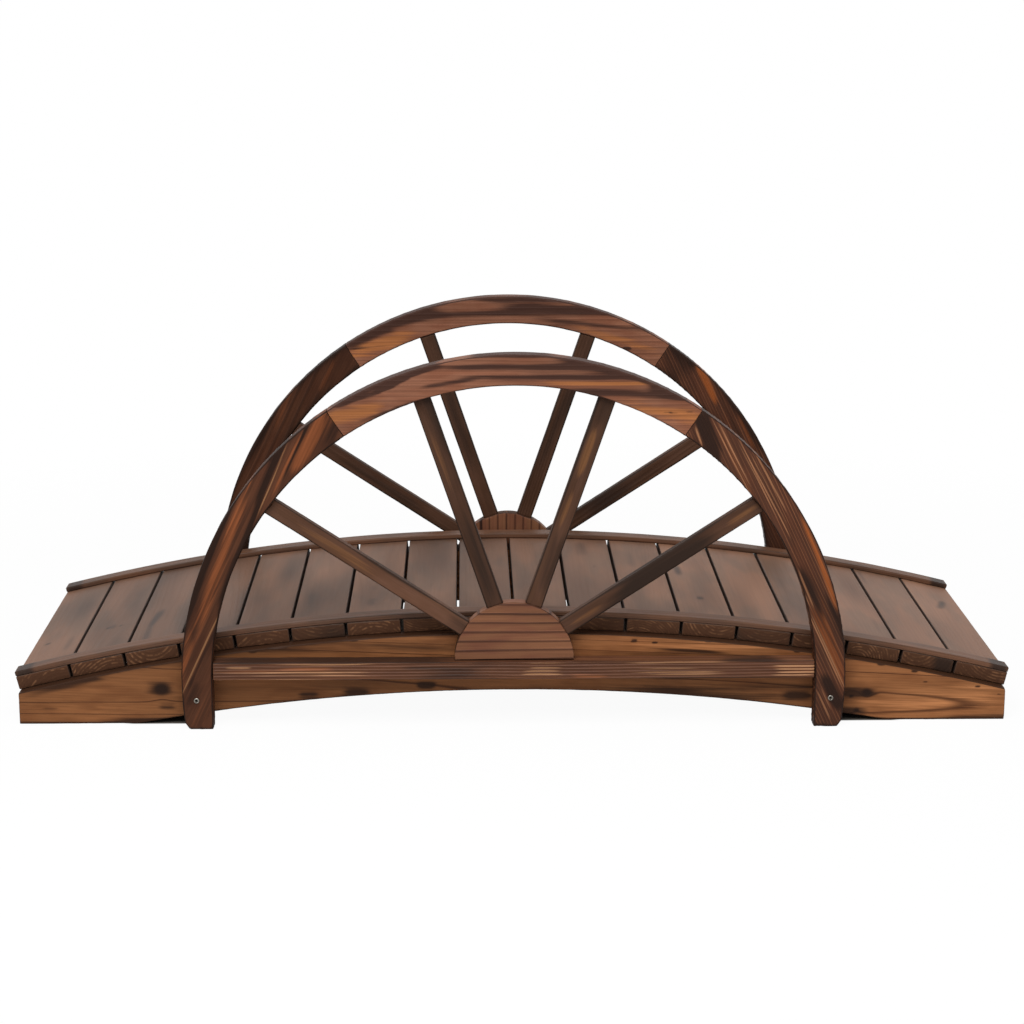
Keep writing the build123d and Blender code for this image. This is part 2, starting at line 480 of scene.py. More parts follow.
def wood_fields(points: np.ndarray, normals: np.ndarray, grain: Grain, log: Log, margin: np.ndarray) -> Fields:
    """Works out what the wood shows at each point of a board.

    Args:
        points: Places on the board in millimetres, one row each.
        normals: Surface normal at each place.
        grain: The board's axes.
        log: Where the board lay in its tree.
        margin: Distance of each place from the board's long edges, millimetres.

    Returns:
        Attribute name to values: ring, burn, bare, split, knot, cut and tone, and fibre with three columns.
    """
    axes = grain.axes()
    local = (points - np.array(grain.middle)) @ axes.T
    along, across, through = local.T
    seed = log.seed
    wide, fine, smoke, mottle = (
        soft_noise(local / np.array([length, girth, girth]) + shift, seed + step)
        for length, girth, shift, step in WOOD_NOISES
    )
    y = across - log.pith[0] - log.lean[0] * along
    z = through - log.pith[1] - log.lean[1] * along
    radius = np.hypot(y, z) + log.wander * (wide + FINE_SHARE * fine)
    knot = np.zeros(len(points))
    for place in log.knots:
        away = np.hypot((along - place.along) / KNOT_LENGTH, across - place.across) / place.radius
        knot = np.maximum(knot, 1.0 - smooth_step(*KNOT_RIM, away + KNOT_ROUGH * fine))
        run, out, swell = KNOT_SWELL
        bulge = np.exp(-(((along - place.along) / (run * place.radius)) ** 2) - (away / out) ** 2)
        radius += swell * place.radius * bulge
    slow_places = np.stack([radius / (SLOW_RINGS * log.ring), along / SLOW_LENGTH, 0 * along], 1)
    slow = soft_noise(slow_places + 3.5, seed + 2)

    strayed = across + MARK_STRAY * fine
    bare, split = (
        np.max([np.zeros(len(points)), *(mark.amount(along, strayed) for mark in found)], axis=0)
        for found in (log.bares, log.splits)
    )
    burn = log.smoke * smooth_step(-0.1, 0.9, smoke) + 0.15 * wide - 0.6 * bare - split
    for mark in log.burns:
        burn += mark.amount(along, strayed)
    burn += log.margin_burn[0] * np.exp(-margin / log.margin_burn[1])
    # Painted shade: darker near the ground and on upward faces, which on the beams is the ledge below the plank ends
    burn += log.ground_shade * np.exp(-points[:, 2] / GROUND_SHADE_HEIGHT) + log.darkening * smooth_step(*TOP_FACE, normals[:, 2])
    return {
        "ring": radius / log.ring + log.jitter * slow + log.phase + seed % 89,
        "burn": burn,
        "bare": bare,
        "split": split,
        "knot": knot,
        "cut": smooth_step(*CUT_FACE, np.abs(normals @ axes[0])),
        "tone": log.tone + log.fade * along + log.mottle * mottle,
        "fibre": np.stack([along, y, z], 1) * MM + np.array([seed % 17, seed % 23, seed % 29]) * 0.37,
    }


def store_fields(mesh: Mesh, fields: Fields) -> None:
    """Puts wood fields on a mesh's points as attributes.

    Args:
        mesh: Mesh that gets them.
        fields: Attribute name to values, one or three for each point.
    """
    for key, values in fields.items():
        kind, slot = ("FLOAT", "value") if values.ndim == 1 else ("FLOAT_VECTOR", "vector")
        mesh.attributes.new(key, kind, "POINT").data.foreach_set(slot, values.astype(np.float32).ravel())


def mesh_points(mesh: Mesh) -> tuple[np.ndarray, np.ndarray]:
    """Reads a mesh's points and normals.

    Args:
        mesh: The mesh.

    Returns:
        Points in millimetres and the normals there, one row each.
    """
    points, normals = np.empty((2, len(mesh.vertices) * 3), np.float32)
    mesh.vertices.foreach_get("co", points)
    mesh.vertex_normals.foreach_get("vector", normals)
    return points.reshape(-1, 3).astype(float) / MM, normals.reshape(-1, 3).astype(float)


def near_arris(facing: np.ndarray) -> np.ndarray:
    """How near points are to an arris, from 0 to 1, by how far their normals tilt from a board's axes."""
    return smooth_step(*ARRIS_TILT, 1.0 - facing.max(axis=1))


def weather(mesh: Mesh, fields: Fields, finish: FirFinish, edge: np.ndarray, seed: int) -> None:
    """Gives a board's surface its brushed rings, uneven planing and knocked edges, and stores its fields.

    Args:
        mesh: The board, moved in place.
        fields: Its wood fields.
        finish: Its finish, which says how high the rings stand.
        edge: How near each point is to an arris, from 0 to 1.
        seed: Seed of the knocks.
    """
    points, normals = mesh_points(mesh)
    planed, knocked, nicked = (
        soft_noise(points / size, seed + step) for step, (_, size) in enumerate((PLANING, KNOCKS, NICKS), 5)
    )
    inside = (1.0 - fields["cut"]) * (1.0 - edge)
    lift = finish.relief * (finish.ring_height(fields["ring"]) - 0.5) * inside + PLANING[0] * planed * inside
    lift -= edge * (KNOCKS[0] * smooth_step(0.35, 0.9, knocked) + NICKS[0] * np.abs(nicked))
    moved = (points + normals * lift[:, None]) * MM
    mesh.vertices.foreach_set("co", moved.astype(np.float32).ravel())
    mesh.update()
    store_fields(mesh, fields | {"edge": edge})
    mesh.shade_smooth()


def new_object(name: str, data: bpy.types.ID) -> Piece:
    """Puts a mesh, a lamp or a camera into the scene at the origin.

    Args:
        name: Name of the object.
        data: The mesh, lamp or camera.

    Returns:
        The object.
    """
    piece = bpy.data.objects.new(name, data)
    bpy.context.scene.collection.objects.link(piece)
    return piece


def settle(piece: Piece, nodes: list[str]) -> None:
    """Fixes a piece to the bridge in place of its solids.

    Args:
        piece: The finished piece.
        nodes: Names of the solids it stands for.
    """
    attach(piece, "root")
    if nodes:
        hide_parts(*nodes)
    LOG.info("%s: %d faces, for %d solids", piece.name, len(piece.data.polygons), len(nodes))


@dataclass
class Board:
    """A sawn board that lies upright between two edge lines, with eased arrises and closed ends.

    Attributes:
        name: Name of the solid it stands for.
        lower: Points of one edge line, x and z in millimetres, one row each.
        upper: Points of the other edge line, matched to the first.
        y_low: Lowest y of its thickness, millimetres.
        thickness: Size through y, millimetres.
        finish: Its finish.
        grain: Its axes.
        log: Where it lay in its tree.
        ease: Radius of its arrises, millimetres.
        ways: Spacing of points across and through it, millimetres.
        end_ease: Radius of the arrises round its two ends, millimetres.
        slot: Material slot; not used.
        corner: Steps in the round of an arris.
    """

    name: str
    lower: np.ndarray
    upper: np.ndarray
    y_low: float
    thickness: float
    finish: FirFinish
    grain: Grain
    log: Log
    ease: float
    ways: tuple[float, ...]
    end_ease: float = 1.0
    slot: str = "rail_fir"
    corner: int = 3

    def section(self, across: int, through: int) -> np.ndarray:
        """Outline of the board's section as one loop.

        Args:
            across: Number of steps across the width.
            through: Number of steps through the thickness.

        Returns:
            Rows of share across, corner offset across, share through and corner offset through.
        """
        rows: list[tuple[float, float, float, float]] = []
        sides = (
            [(j / across, 0.0, 0.0, -1.0) for j in range(across + 1)],
            [(1.0, 1.0, k / through, 0.0) for k in range(through + 1)],
            [(1.0 - j / across, 0.0, 1.0, 1.0) for j in range(across + 1)],
            [(0.0, -1.0, 1.0 - k / through, 0.0) for k in range(through + 1)],
        )
        for number, side in enumerate(sides):
            rows += side
            for step in range(1, self.corner):
                turn = math.radians(90 * (number - 1) + 90 * step / self.corner)
                rows.append((side[-1][0], math.cos(turn), side[-1][2], math.sin(turn)))
        return np.array(rows)

    def stations(self) -> tuple[np.ndarray, np.ndarray, np.ndarray]:
        """Edge points and inset of each section, with extra sections that round the two ends.

        Returns:
            Lower points, upper points and inset in millimetres.
        """
        turn = np.radians([0.0, 45.0, 90.0])
        back = self.end_ease * (1.0 - np.sin(turn))[:, None]
        inset = self.end_ease * (1.0 - np.cos(turn))
        lines = []
        for line in (self.lower, self.upper):
            first, last = line[1] - line[0], line[-2] - line[-1]
            start = line[0] + first / np.linalg.norm(first) * back
            end = line[-1] + last / np.linalg.norm(last) * back
            lines.append(np.concatenate([start[::-1], line[1:-1], end]))
        return lines[0], lines[1], np.concatenate([inset[::-1], np.zeros(len(self.lower) - 2), inset])

    def mesh_data(self) -> tuple[np.ndarray, list[list[int]], np.ndarray, np.ndarray]:
        """Points and faces of the board.

        Returns:
            Points in millimetres, faces, nearness to an arris and distance from the long edges.
        """
        lower, upper, inset = self.stations()
        span = np.linalg.norm(upper - lower, axis=1)[:, None]
        across = max(4, round(float(np.median(span)) / self.ways[0]))
        through = max(3, round(self.thickness / self.ways[1]))
        loop = self.section(across, through)
        count, size = len(lower), len(loop)
        radius = (self.ease - inset)[:, None]
        reach = loop[:, 0] * (span - 2 * self.ease) + self.ease + loop[:, 1] * radius
        depth = loop[:, 2] * (self.thickness - 2 * self.ease) + self.ease + loop[:, 3] * radius
        flat = lower[:, None] + ((upper - lower) / span)[:, None] * reach[:, :, None]
        points = np.stack([flat[:, :, 0], self.y_low + depth, flat[:, :, 1]], 2).reshape(-1, 3)
        rounded = np.minimum(np.abs(loop[:, 1]), np.abs(loop[:, 3])) > ROUND_FROM
        edge = (rounded | (inset > ROUND_FROM * self.end_ease)[:, None]).astype(float).ravel()
        margin = np.minimum(reach, span - reach).ravel()
        here = np.arange((count - 1) * size).reshape(-1, size)
        beside = np.roll(here, -1, axis=1)
        faces = np.stack([here, beside, beside + size, here + size], 2).reshape(-1, 4).tolist()
        for end in (0, count - 1):
            inner, lid = self.cap(end * size, across, through, points, end > 0)
            points = np.concatenate([points, inner])
            faces += lid
            edge = np.concatenate([edge, np.zeros(len(inner))])
            margin = np.concatenate([margin, np.full(len(inner), END_MARGIN)])
        return points, faces, edge, margin

    def cap(
        self, first: int, across: int, through: int, points: np.ndarray, last: bool
    ) -> tuple[np.ndarray, list[list[int]]]:
        """Closes an end with a grid, so that the rings of the cut end are drawn true.

        Args:
            first: Number of the end section's first point.
            across: Steps across the width.
            through: Steps through the thickness.
            points: Points made so far.
            last: Whether this is the far end.

        Returns:
            New points and faces.
        """
        step = self.corner - 1
        right = across + 1 + step
        top = right + through + 1 + step
        left = top + across + 1 + step
        j, k = np.arange(across + 1), np.arange(1, through)
        low, high = points[first + j], points[first + top + across - j]
        inner = (low[1:-1, None] + (high - low)[1:-1, None] * (k / through)[:, None]).reshape(-1, 3)
        grid = np.empty((across + 1, through + 1), int)
        grid[:, 0], grid[:, -1] = first + j, first + top + across - j
        grid[0, 1:-1], grid[-1, 1:-1] = first + left + through - k, first + right + k
        grid[1:-1, 1:-1] = len(points) + np.arange(len(inner)).reshape(across - 1, -1)
        corners = {
            (0, 0): left + through, (across - 1, 0): across + 1,
            (across - 1, through - 1): right + through, (0, through - 1): top + across + 1,
        }
        faces = []
        for j, k in np.ndindex(across, through):
            ring = [int(p) for p in (grid[j, k], grid[j + 1, k], grid[j + 1, k + 1], grid[j, k + 1])]
            if (j, k) in corners:
                start, place = first + corners[j, k], 2 if j else 4
                ring[place:place] = range(start, start + step + 1)
            faces.append(ring if last else ring[::-1])
        return inner, faces

    def build(self) -> None:
        """Makes the board, its wood and its finish."""
        points, faces, edge, margin = self.mesh_data()
        mesh = bpy.data.meshes.new(self.name)
        mesh.from_pydata((points * MM).tolist(), [], faces)
        shell = bmesh.new()
        shell.from_mesh(mesh)
        bmesh.ops.recalc_face_normals(shell, faces=shell.faces)
        shell.to_mesh(mesh)
        shell.free()
        fields = wood_fields(points, mesh_points(mesh)[1], self.grain, self.log, margin)
        weather(mesh, fields, self.finish, edge, self.log.seed)
        mesh.materials.append(FINISHES[self.finish.name])
        settle(new_object(f"{self.name}_timber", mesh), [self.name])


@dataclass(frozen=True)
class Bow:
    """The shallow arc that the beams' tops follow.

    Attributes:
        length: Length of the beams, millimetres.
        end_height: Height of their ends.
        rise: Rise of the middle above the ends.
    """

    length: float = 1400.0
    end_height: float = 45.5
    rise: float = 86.0

    @property
    def radius(self) -> float:
        """Radius of the arc."""
        return ((self.length / 2) ** 2 + self.rise**2) / (2 * self.rise)

    @property
    def centre(self) -> float:
        """Height of the arc's centre, far below the ground."""
        return self.end_height + self.rise - self.radius

    def height(self, x: np.ndarray) -> np.ndarray:
        """Height of the arc at places along the walkway."""
        return self.centre + np.sqrt(self.radius**2 - x**2)


def node_tree(name: str, values: dict[str, Any]) -> tuple[Tree, bpy.types.bpy_prop_collection]:
    """Starts a Geometry Nodes tree with named inputs.

    Args:
        name: Name of the tree.
        values: Input name to its value.

    Returns:
        The tree and the sockets of its inputs.
    """
    tree = bpy.data.node_groups.new(name, "GeometryNodeTree")
    for way in ("OUTPUT", "INPUT"):
        tree.interface.new_socket(name="Geometry", in_out=way, socket_type="NodeSocketGeometry")
    for key, value in values.items():
        socket = tree.interface.new_socket(name=key, in_out="INPUT", socket_type=SOCKET_KINDS[type(value)])
        socket.default_value = value
    return tree, add_node(tree, "NodeGroupInput").node.outputs


def end_tree(tree: Tree, geometry: Socket, finish: Socket) -> None:
    """Makes a tree's instances real, sets their material and hands them out."""
    real = add_node(tree, "GeometryNodeRealizeInstances", geometry)
    add_node(tree, "NodeGroupOutput", add_node(tree, "GeometryNodeSetMaterial", real, None, finish))


def on_arc(tree: Tree, angle: Socket, reach: Socket, centre: Socket, y: Socket | None = None) -> Socket:
    """Adds the nodes of a place on an arc about a centre on the middle line.

    Args:
        tree: Geometry Nodes tree.
        angle: Angle from upright, radians.
        reach: Distance from the centre.
        centre: Height of the centre.
        y: Place across the walkway.

    Returns:
        Socket with the place.
    """
    sine, cosine = (add_node(tree, "Math", angle, operation=kind) for kind in ("SINE", "COSINE"))
    x = add_node(tree, "Math", reach, sine, **TIMES)
    return add_node(tree, "CombineXYZ", x, y, add_node(tree, "Math", reach, cosine, centre, **TIMES_ADD))


def board_shell(tree: Tree, size: Socket, ease: Socket, points: tuple[int, int, int]) -> Socket:
    """Adds the nodes of a board with rounded arrises, centred on the origin.

    Args:
        tree: Geometry Nodes tree.
        size: Socket with its length, width and thickness.
        ease: Socket with the radius of its arrises.
        points: Number of points along each of its three sizes; the two outermost steps lie in the arris.

    Returns:
        Socket with the mesh.
    """
    node = partial(add_node, tree)
    # The cube is two units wide, and two steps at each side bend round the arris
    arris = 4.0
    flat_share = tuple(1.0 - arris / (n - 1) for n in points)
    corner_scale = tuple((n - 1) / arris for n in points)
    place = node("GeometryNodeInputPosition")
    half = node("VectorMath", size, named={"Scale": 0.5}, **SCALE)
    inner = node("VectorMath", half, node("CombineXYZ", ease, ease, ease), **LESS)
    away = node("VectorMath", place, operation="ABSOLUTE")
    near = node("VectorMath", away, flat_share, operation="MINIMUM")
    past = node("VectorMath", node("VectorMath", away, near, **LESS), corner_scale, **TIMES)
    flat = node("VectorMath", node("VectorMath", near, flat_share, operation="DIVIDE"), inner, **TIMES)
    corner = node("VectorMath", past, operation="NORMALIZE")
    total = node("VectorMath", flat, node("VectorMath", corner, named={"Scale": ease}, **SCALE), **ADD)
    signed = node("VectorMath", total, node("VectorMath", place, operation="SIGN"), **TIMES)
    return node("GeometryNodeSetPosition", node("GeometryNodeMeshCube", (2.0, 2.0, 2.0), *points), None, signed)


def grow(name: str, base: Mesh, tree: Tree, values: dict[str, Any]) -> Piece:
    """Runs a Geometry Nodes tree once and keeps the result as a plain mesh.

    Args:
        name: Name of the piece.
        base: Mesh that the tree starts from.
        tree: The tree.
        values: Value of each named input.

    Returns:
        The piece, with no modifier left on it.
    """
    piece = new_object(name, base)
    modifier = piece.modifiers.new(name, "NODES")
    modifier.node_group = tree
    for item in tree.interface.items_tree:
        if item.name in values:
            modifier[item.identifier] = values[item.name]
    graph = bpy.context.evaluated_depsgraph_get()
    mesh = bpy.data.meshes.new_from_object(piece.evaluated_get(graph))
    piece.modifiers.clear()
    piece.data = mesh
    mesh.name = name
    return piece


@dataclass
class Deck:
    """Flat planks across the bow and the thin strips bent over their ends.

    Attributes:
        bow: Arc that the planks lie on.
        width: Length of the planks, across the walkway, millimetres.
        count: Number of planks.
        thickness: Thickness of a plank.
        gap: Gap between planks.
        overhang: How far the end planks reach past the beams, along the bow.
        ease: Radius of their arrises.
        strip_width: Width of a strip.
        strip_thickness: Thickness of a strip.
        plank_points: Points across, along and through each plank.
        strip_points: Points along, across and through each strip.
        end_scorch: How far the flame darkened each plank's cut ends, some nearly black beside others left brown.
        tones: How light each plank is, from -1 to 1.
        knots: Knots by the plank's number, counted from zero.
        smudges: Scorched patches by the plank's number.
        gap_shade: How black the walls of the gaps are painted, as shade.
        end_shade: How black the arrises round the planks' ends are painted, as shade where the ends meet the beam and
            each other.
        end_arris: How far from its end the painted shade on a plank's arrises begins and is full.
        seed: Seed of the planks' wood.
        knock_seed: Seed of the knocks in their edges.
    """

    bow: Bow
    width: float = 481.0
    count: int = 18
    thickness: float = 19.5
    gap: float = 3.5
    overhang: float = 1.5
    ease: float = 1.5
    strip_width: float = 29.0
    strip_thickness: float = 7.5
    plank_points: tuple[int, int, int] = (27, 71, 10)
    strip_points: tuple[int, int, int] = (240, 13, 7)
    end_scorch: tuple[float, ...] = (
        -0.35, -0.2, -0.1, -0.2, -0.35, 0.4, -0.45, 0.0, 0.2, 0.2, 0.3, -0.05, -0.3, 0.4, 0.15, -0.25, -0.05, -0.2,
    )
    tones: tuple[float, ...] = (
        -0.3, -0.45, -1.15, -1.2, -0.35, -0.45, -0.1, -0.5, -0.85, -0.3, 0.0, 0.1, 0.8, 0.95, 0.3, 0.2, 0.75, 1.0,
    )
    knots: dict[int, tuple[Knot, ...]] = field(
        default_factory=lambda: {
            0: (Knot(-94, -16, 3.5),), 1: (Knot(-78, -6, 3.0), Knot(-80, 14, 2.2)), 10: (Knot(47, 11, 2.5),),
            12: (Knot(-101, 0, 3.5),),
        }
    )
    smudges: dict[int, tuple[Mark, ...]] = field(
        default_factory=lambda: {
            0: marks((-118, 20, 45, 10, 0.45)),
            1: marks((-78, 0, 14, 8, 0.5), (64, 3, 60, 10, 0.35)),
            2: marks((-75, -12, 50, 9, 0.75, 0.1), (-167, -16, 45, 10, 0.6), (60, -14, 80, 8, 0.3)),
            5: marks((-91, -18, 40, 8, 0.4)),
            6: marks((-137, -7, 25, 11, 0.45), (-60, -5, 18, 10, 0.35)),
            7: marks((-56, 0, 90, 4, 0.3)),
            10: marks((150, -5, 50, 14, 0.45)),
            11: marks((101, -11, 60, 12, 0.35)),
            12: marks((-101, 0, 16, 9, 0.5), (53, -21, 30, 8, 0.5)),
            13: marks((-18, 5, 40, 4, 0.3)),
            14: marks((25, -20, 60, 10, 0.4)),
            15: marks((-122, 22, 60, 10, 0.35)),
            16: marks((-225, 24, 25, 14, 0.8), (170, -30, 50, 8, 0.4)),
            17: marks((90, 5, 35, 10, 0.7, 0.3)),
        }
    )
    gap_shade: float = 1.1
    end_shade: float = 0.9
    end_arris: tuple[float, float] = (4.0, 1.5)
    seed: int = 410
    knock_seed: int = 77

    @property
    def pitch(self) -> float:
        """Distance from plank to plank along the bow."""
        arc = 2 * self.bow.radius * math.asin(self.bow.length / 2 / self.bow.radius)
        return (arc + 2 * self.overhang + self.gap) / self.count

    def plank_angle(self, index: int) -> float:
        """Lean of a plank, in radians."""
        return (index - (self.count - 1) / 2) * self.pitch / self.bow.radius

    def plank_tree(self, values: dict[str, Any]) -> Tree:
        """Tree that lays equal planks along the bow.

        Args:
            values: Its named inputs.

        Returns:
            The tree.
        """
        tree, given = node_tree("planks_along_bow", values)
        node = partial(add_node, tree)
        board = board_shell(tree, given["Plank size"], given["Edge radius"], self.plank_points)
        last = node("Math", given["Plank count"], 1.0, **LESS)
        from_middle = node("Math", node("GeometryNodeInputIndex"), node("Math", last, 0.5, **TIMES), **LESS)
        run = node("Math", from_middle, given["Plank pitch"], **TIMES)
        angle = node("Math", run, given["Bow radius"], operation="DIVIDE")
        thickness = node("SeparateXYZ", given["Plank size"], out=2)
        reach = node("Math", thickness, 0.5, given["Bow radius"], **TIMES_ADD)
        place = on_arc(tree, angle, reach, given["Bow centre"])
        points = node("GeometryNodeSetPosition", node("GeometryNodeMeshLine", given["Plank count"]), None, place)
        turn = node("FunctionNodeEulerToRotation", node("CombineXYZ", None, angle))
        laid = node("GeometryNodeInstanceOnPoints", points, None, board, named={"Rotation": turn})
        end_tree(tree, laid, given["Finish"])
        return tree

    def plank_log(self, index: int) -> Log:
        """Where a plank lay in its tree.

        Args:
            index: Number of the plank, counted from zero.

        Returns:
            Its log.
        """
        rng = np.random.default_rng(self.seed + index)
        side = 1.0 if rng.random() < 0.5 else -1.0
        return Log(
            pith=(rng.uniform(-28, 28), side * rng.uniform(18, 60)),
            lean=(rng.uniform(-0.02, 0.02), rng.uniform(-0.03, 0.03)), ring=rng.uniform(3.4, 6.0),
            knots=self.knots.get(index, ()), burns=self.smudges.get(index, ()), smoke=rng.uniform(0.1, 0.4),
            tone=self.tones[index], mottle=1.2, margin_burn=(0.1, 3.0), wander=2.6, seed=self.seed + 7 * index,
        )

    def build_planks(self) -> None:
        """Lays the planks as one piece and gives each its own wood."""
        values = {
            "Plank size": ((self.pitch - self.gap) * MM, self.width * MM, self.thickness * MM),
            "Edge radius": self.ease * MM,
            "Plank count": self.count,
            "Plank pitch": self.pitch * MM,
            "Bow radius": self.bow.radius * MM,
            "Bow centre": self.bow.centre * MM,
            "Finish": FINISHES[DECK_FIR.name],
        }
        base = bpy.data.meshes.new("deck_planks_base")
        piece = grow("deck_planks_timber", base, self.plank_tree(values), values)
        self.dress_planks(piece.data)
        settle(piece, [f"deck_plank_{i + 1:02d}" for i in range(self.count)])

    def dress_planks(self, mesh: Mesh) -> None:
        """Gives each plank its rings, stain, scorch and knocked edges.

        Args:
            mesh: The planks.
        """
        points, normals = mesh_points(mesh)
        angle = np.arctan2(points[:, 0], points[:, 2] - self.bow.centre)
        place = np.rint(angle * self.bow.radius / self.pitch + (self.count - 1) / 2)
        owner = np.clip(place, 0, self.count - 1).astype(int)
        reach = self.bow.radius + self.thickness / 2
        fields: Fields = {}
        edge = np.zeros(len(points))
        for index in range(self.count):
            mine = owner == index
            lean = self.plank_angle(index)
            middle = (reach * math.sin(lean), 0.0, self.bow.centre + reach * math.cos(lean))
            grain = Grain(middle, ALONG_Y, (math.cos(lean), 0.0, -math.sin(lean)))
            off = ((points[mine] - np.array(middle)) @ grain.axes().T)[:, 1]
            facing = np.abs(normals[mine] @ grain.axes().T)
            edge[mine] = near_arris(facing)
            margin = (self.pitch - self.gap) / 2 - np.abs(off)
            found = wood_fields(points[mine], normals[mine], grain, self.plank_log(index), margin)
            # The walls of the gaps are painted black as shade
            found["burn"] += self.gap_shade * smooth_step(*WALL_FACE, facing[:, 1])
            for key, values in found.items():
                fields.setdefault(key, np.zeros((len(points), *values.shape[1:])))[mine] = values
        # The arrises round the planks' ends are painted dark as shade where the ends meet the beam and each other
        begins, full = (self.width / 2 - inward for inward in self.end_arris)
        fields["burn"] += self.end_shade * edge * smooth_step(begins, full, np.abs(points[:, 1]))
        fields["burn"] += fields["cut"] * np.take(self.end_scorch, owner)
        fields["tone"] *= 1.0 - fields["cut"]
        weather(mesh, fields, DECK_FIR, edge, self.knock_seed)

    def strip_tree(self, values: dict[str, Any]) -> Tree:
        """Tree that bends a straight strip over the bow.

        Args:
            values: Its named inputs.

        Returns:
            The tree.
        """
        tree, given = node_tree("strip_bent_over_bow", values)
        node = partial(add_node, tree)
        board = board_shell(tree, given["Strip size"], given["Edge radius"], self.strip_points)
        x, y, z = node("SeparateXYZ", node("GeometryNodeInputPosition")).node.outputs
        angle = node("Math", x, given["Bend radius"], operation="DIVIDE")
        reach = node("Math", z, given["Bend radius"], **ADD)
        bent = on_arc(tree, angle, reach, given["Bow centre"], node("Math", y, given["Side"], **ADD))
        end_tree(tree, node("GeometryNodeSetPosition", board, None, bent), given["Finish"])
        return tree

    def build_strips(self) -> None:
        """Bends a strip over each end of the planks."""
        half_plank = (self.pitch - self.gap) / 2
        deck_radius = self.bow.radius + self.thickness
        bend = math.hypot(deck_radius, half_plank - self.ease) + self.strip_thickness / 2
        half = self.plank_angle(self.count - 1) + math.atan2(half_plank, deck_radius)
        tree = None
        for side in Side:
            name = f"{side.name.lower()}_edge_strip"
            values = {
                "Strip size": (2 * half * bend * MM, self.strip_width * MM, self.strip_thickness * MM),
                "Edge radius": self.ease * MM,
                "Bend radius": bend * MM,
                "Bow centre": self.bow.centre * MM,
                "Side": side.value * (self.width - self.strip_width) / 2 * MM,
                "Finish": FINISHES[STRIP_FIR.name],
            }
            tree = tree or self.strip_tree(values)
            piece = grow(f"{name}_timber", bpy.data.meshes.new(f"{name}_base"), tree, values)
            self.dress_strip(piece.data, side, bend)
            settle(piece, [name])

    def dress_strip(self, mesh: Mesh, side: Side, bend: float) -> None:
        """Gives a bent strip its wood, worked out as it lay before it was bent.

        Args:
            mesh: The strip.
            side: Side of the bridge it lies on.
            bend: Radius of its middle, millimetres.
        """
        points, normals = mesh_points(mesh)
        x, y, z = points.T
        angle = np.arctan2(x, z - self.bow.centre)
        straight = np.stack([angle * bend, y, np.hypot(x, z - self.bow.centre) - bend], 1)
        sine, cosine = np.sin(angle), np.cos(angle)
        n_x, n_y, n_z = normals.T
        spun = np.stack([n_x * cosine - n_z * sine, n_y, n_x * sine + n_z * cosine], 1)
        middle = side.value * (self.width - self.strip_width) / 2
        log = Log(
            pith=(side.value * 12.0, -26.0), lean=(0.004, 0.01), ring=3.0, smoke=0.45, fade=0.0005,
            seed=600 + side.value, burns=marks((-700, 0, 14, 40, 0.9), (700, 0, 14, 40, 0.9)),
        )
        margin = self.strip_width / 2 - np.abs(y - middle)
        fields = wood_fields(straight, spun, Grain((0.0, middle, 0.0), ALONG_X, ALONG_Y), log, margin)
        weather(mesh, fields, STRIP_FIR, near_arris(np.abs(spun)), log.seed)

    def build(self) -> None:
        """Makes the planks and the strips."""
        self.build_planks()
        self.build_strips()


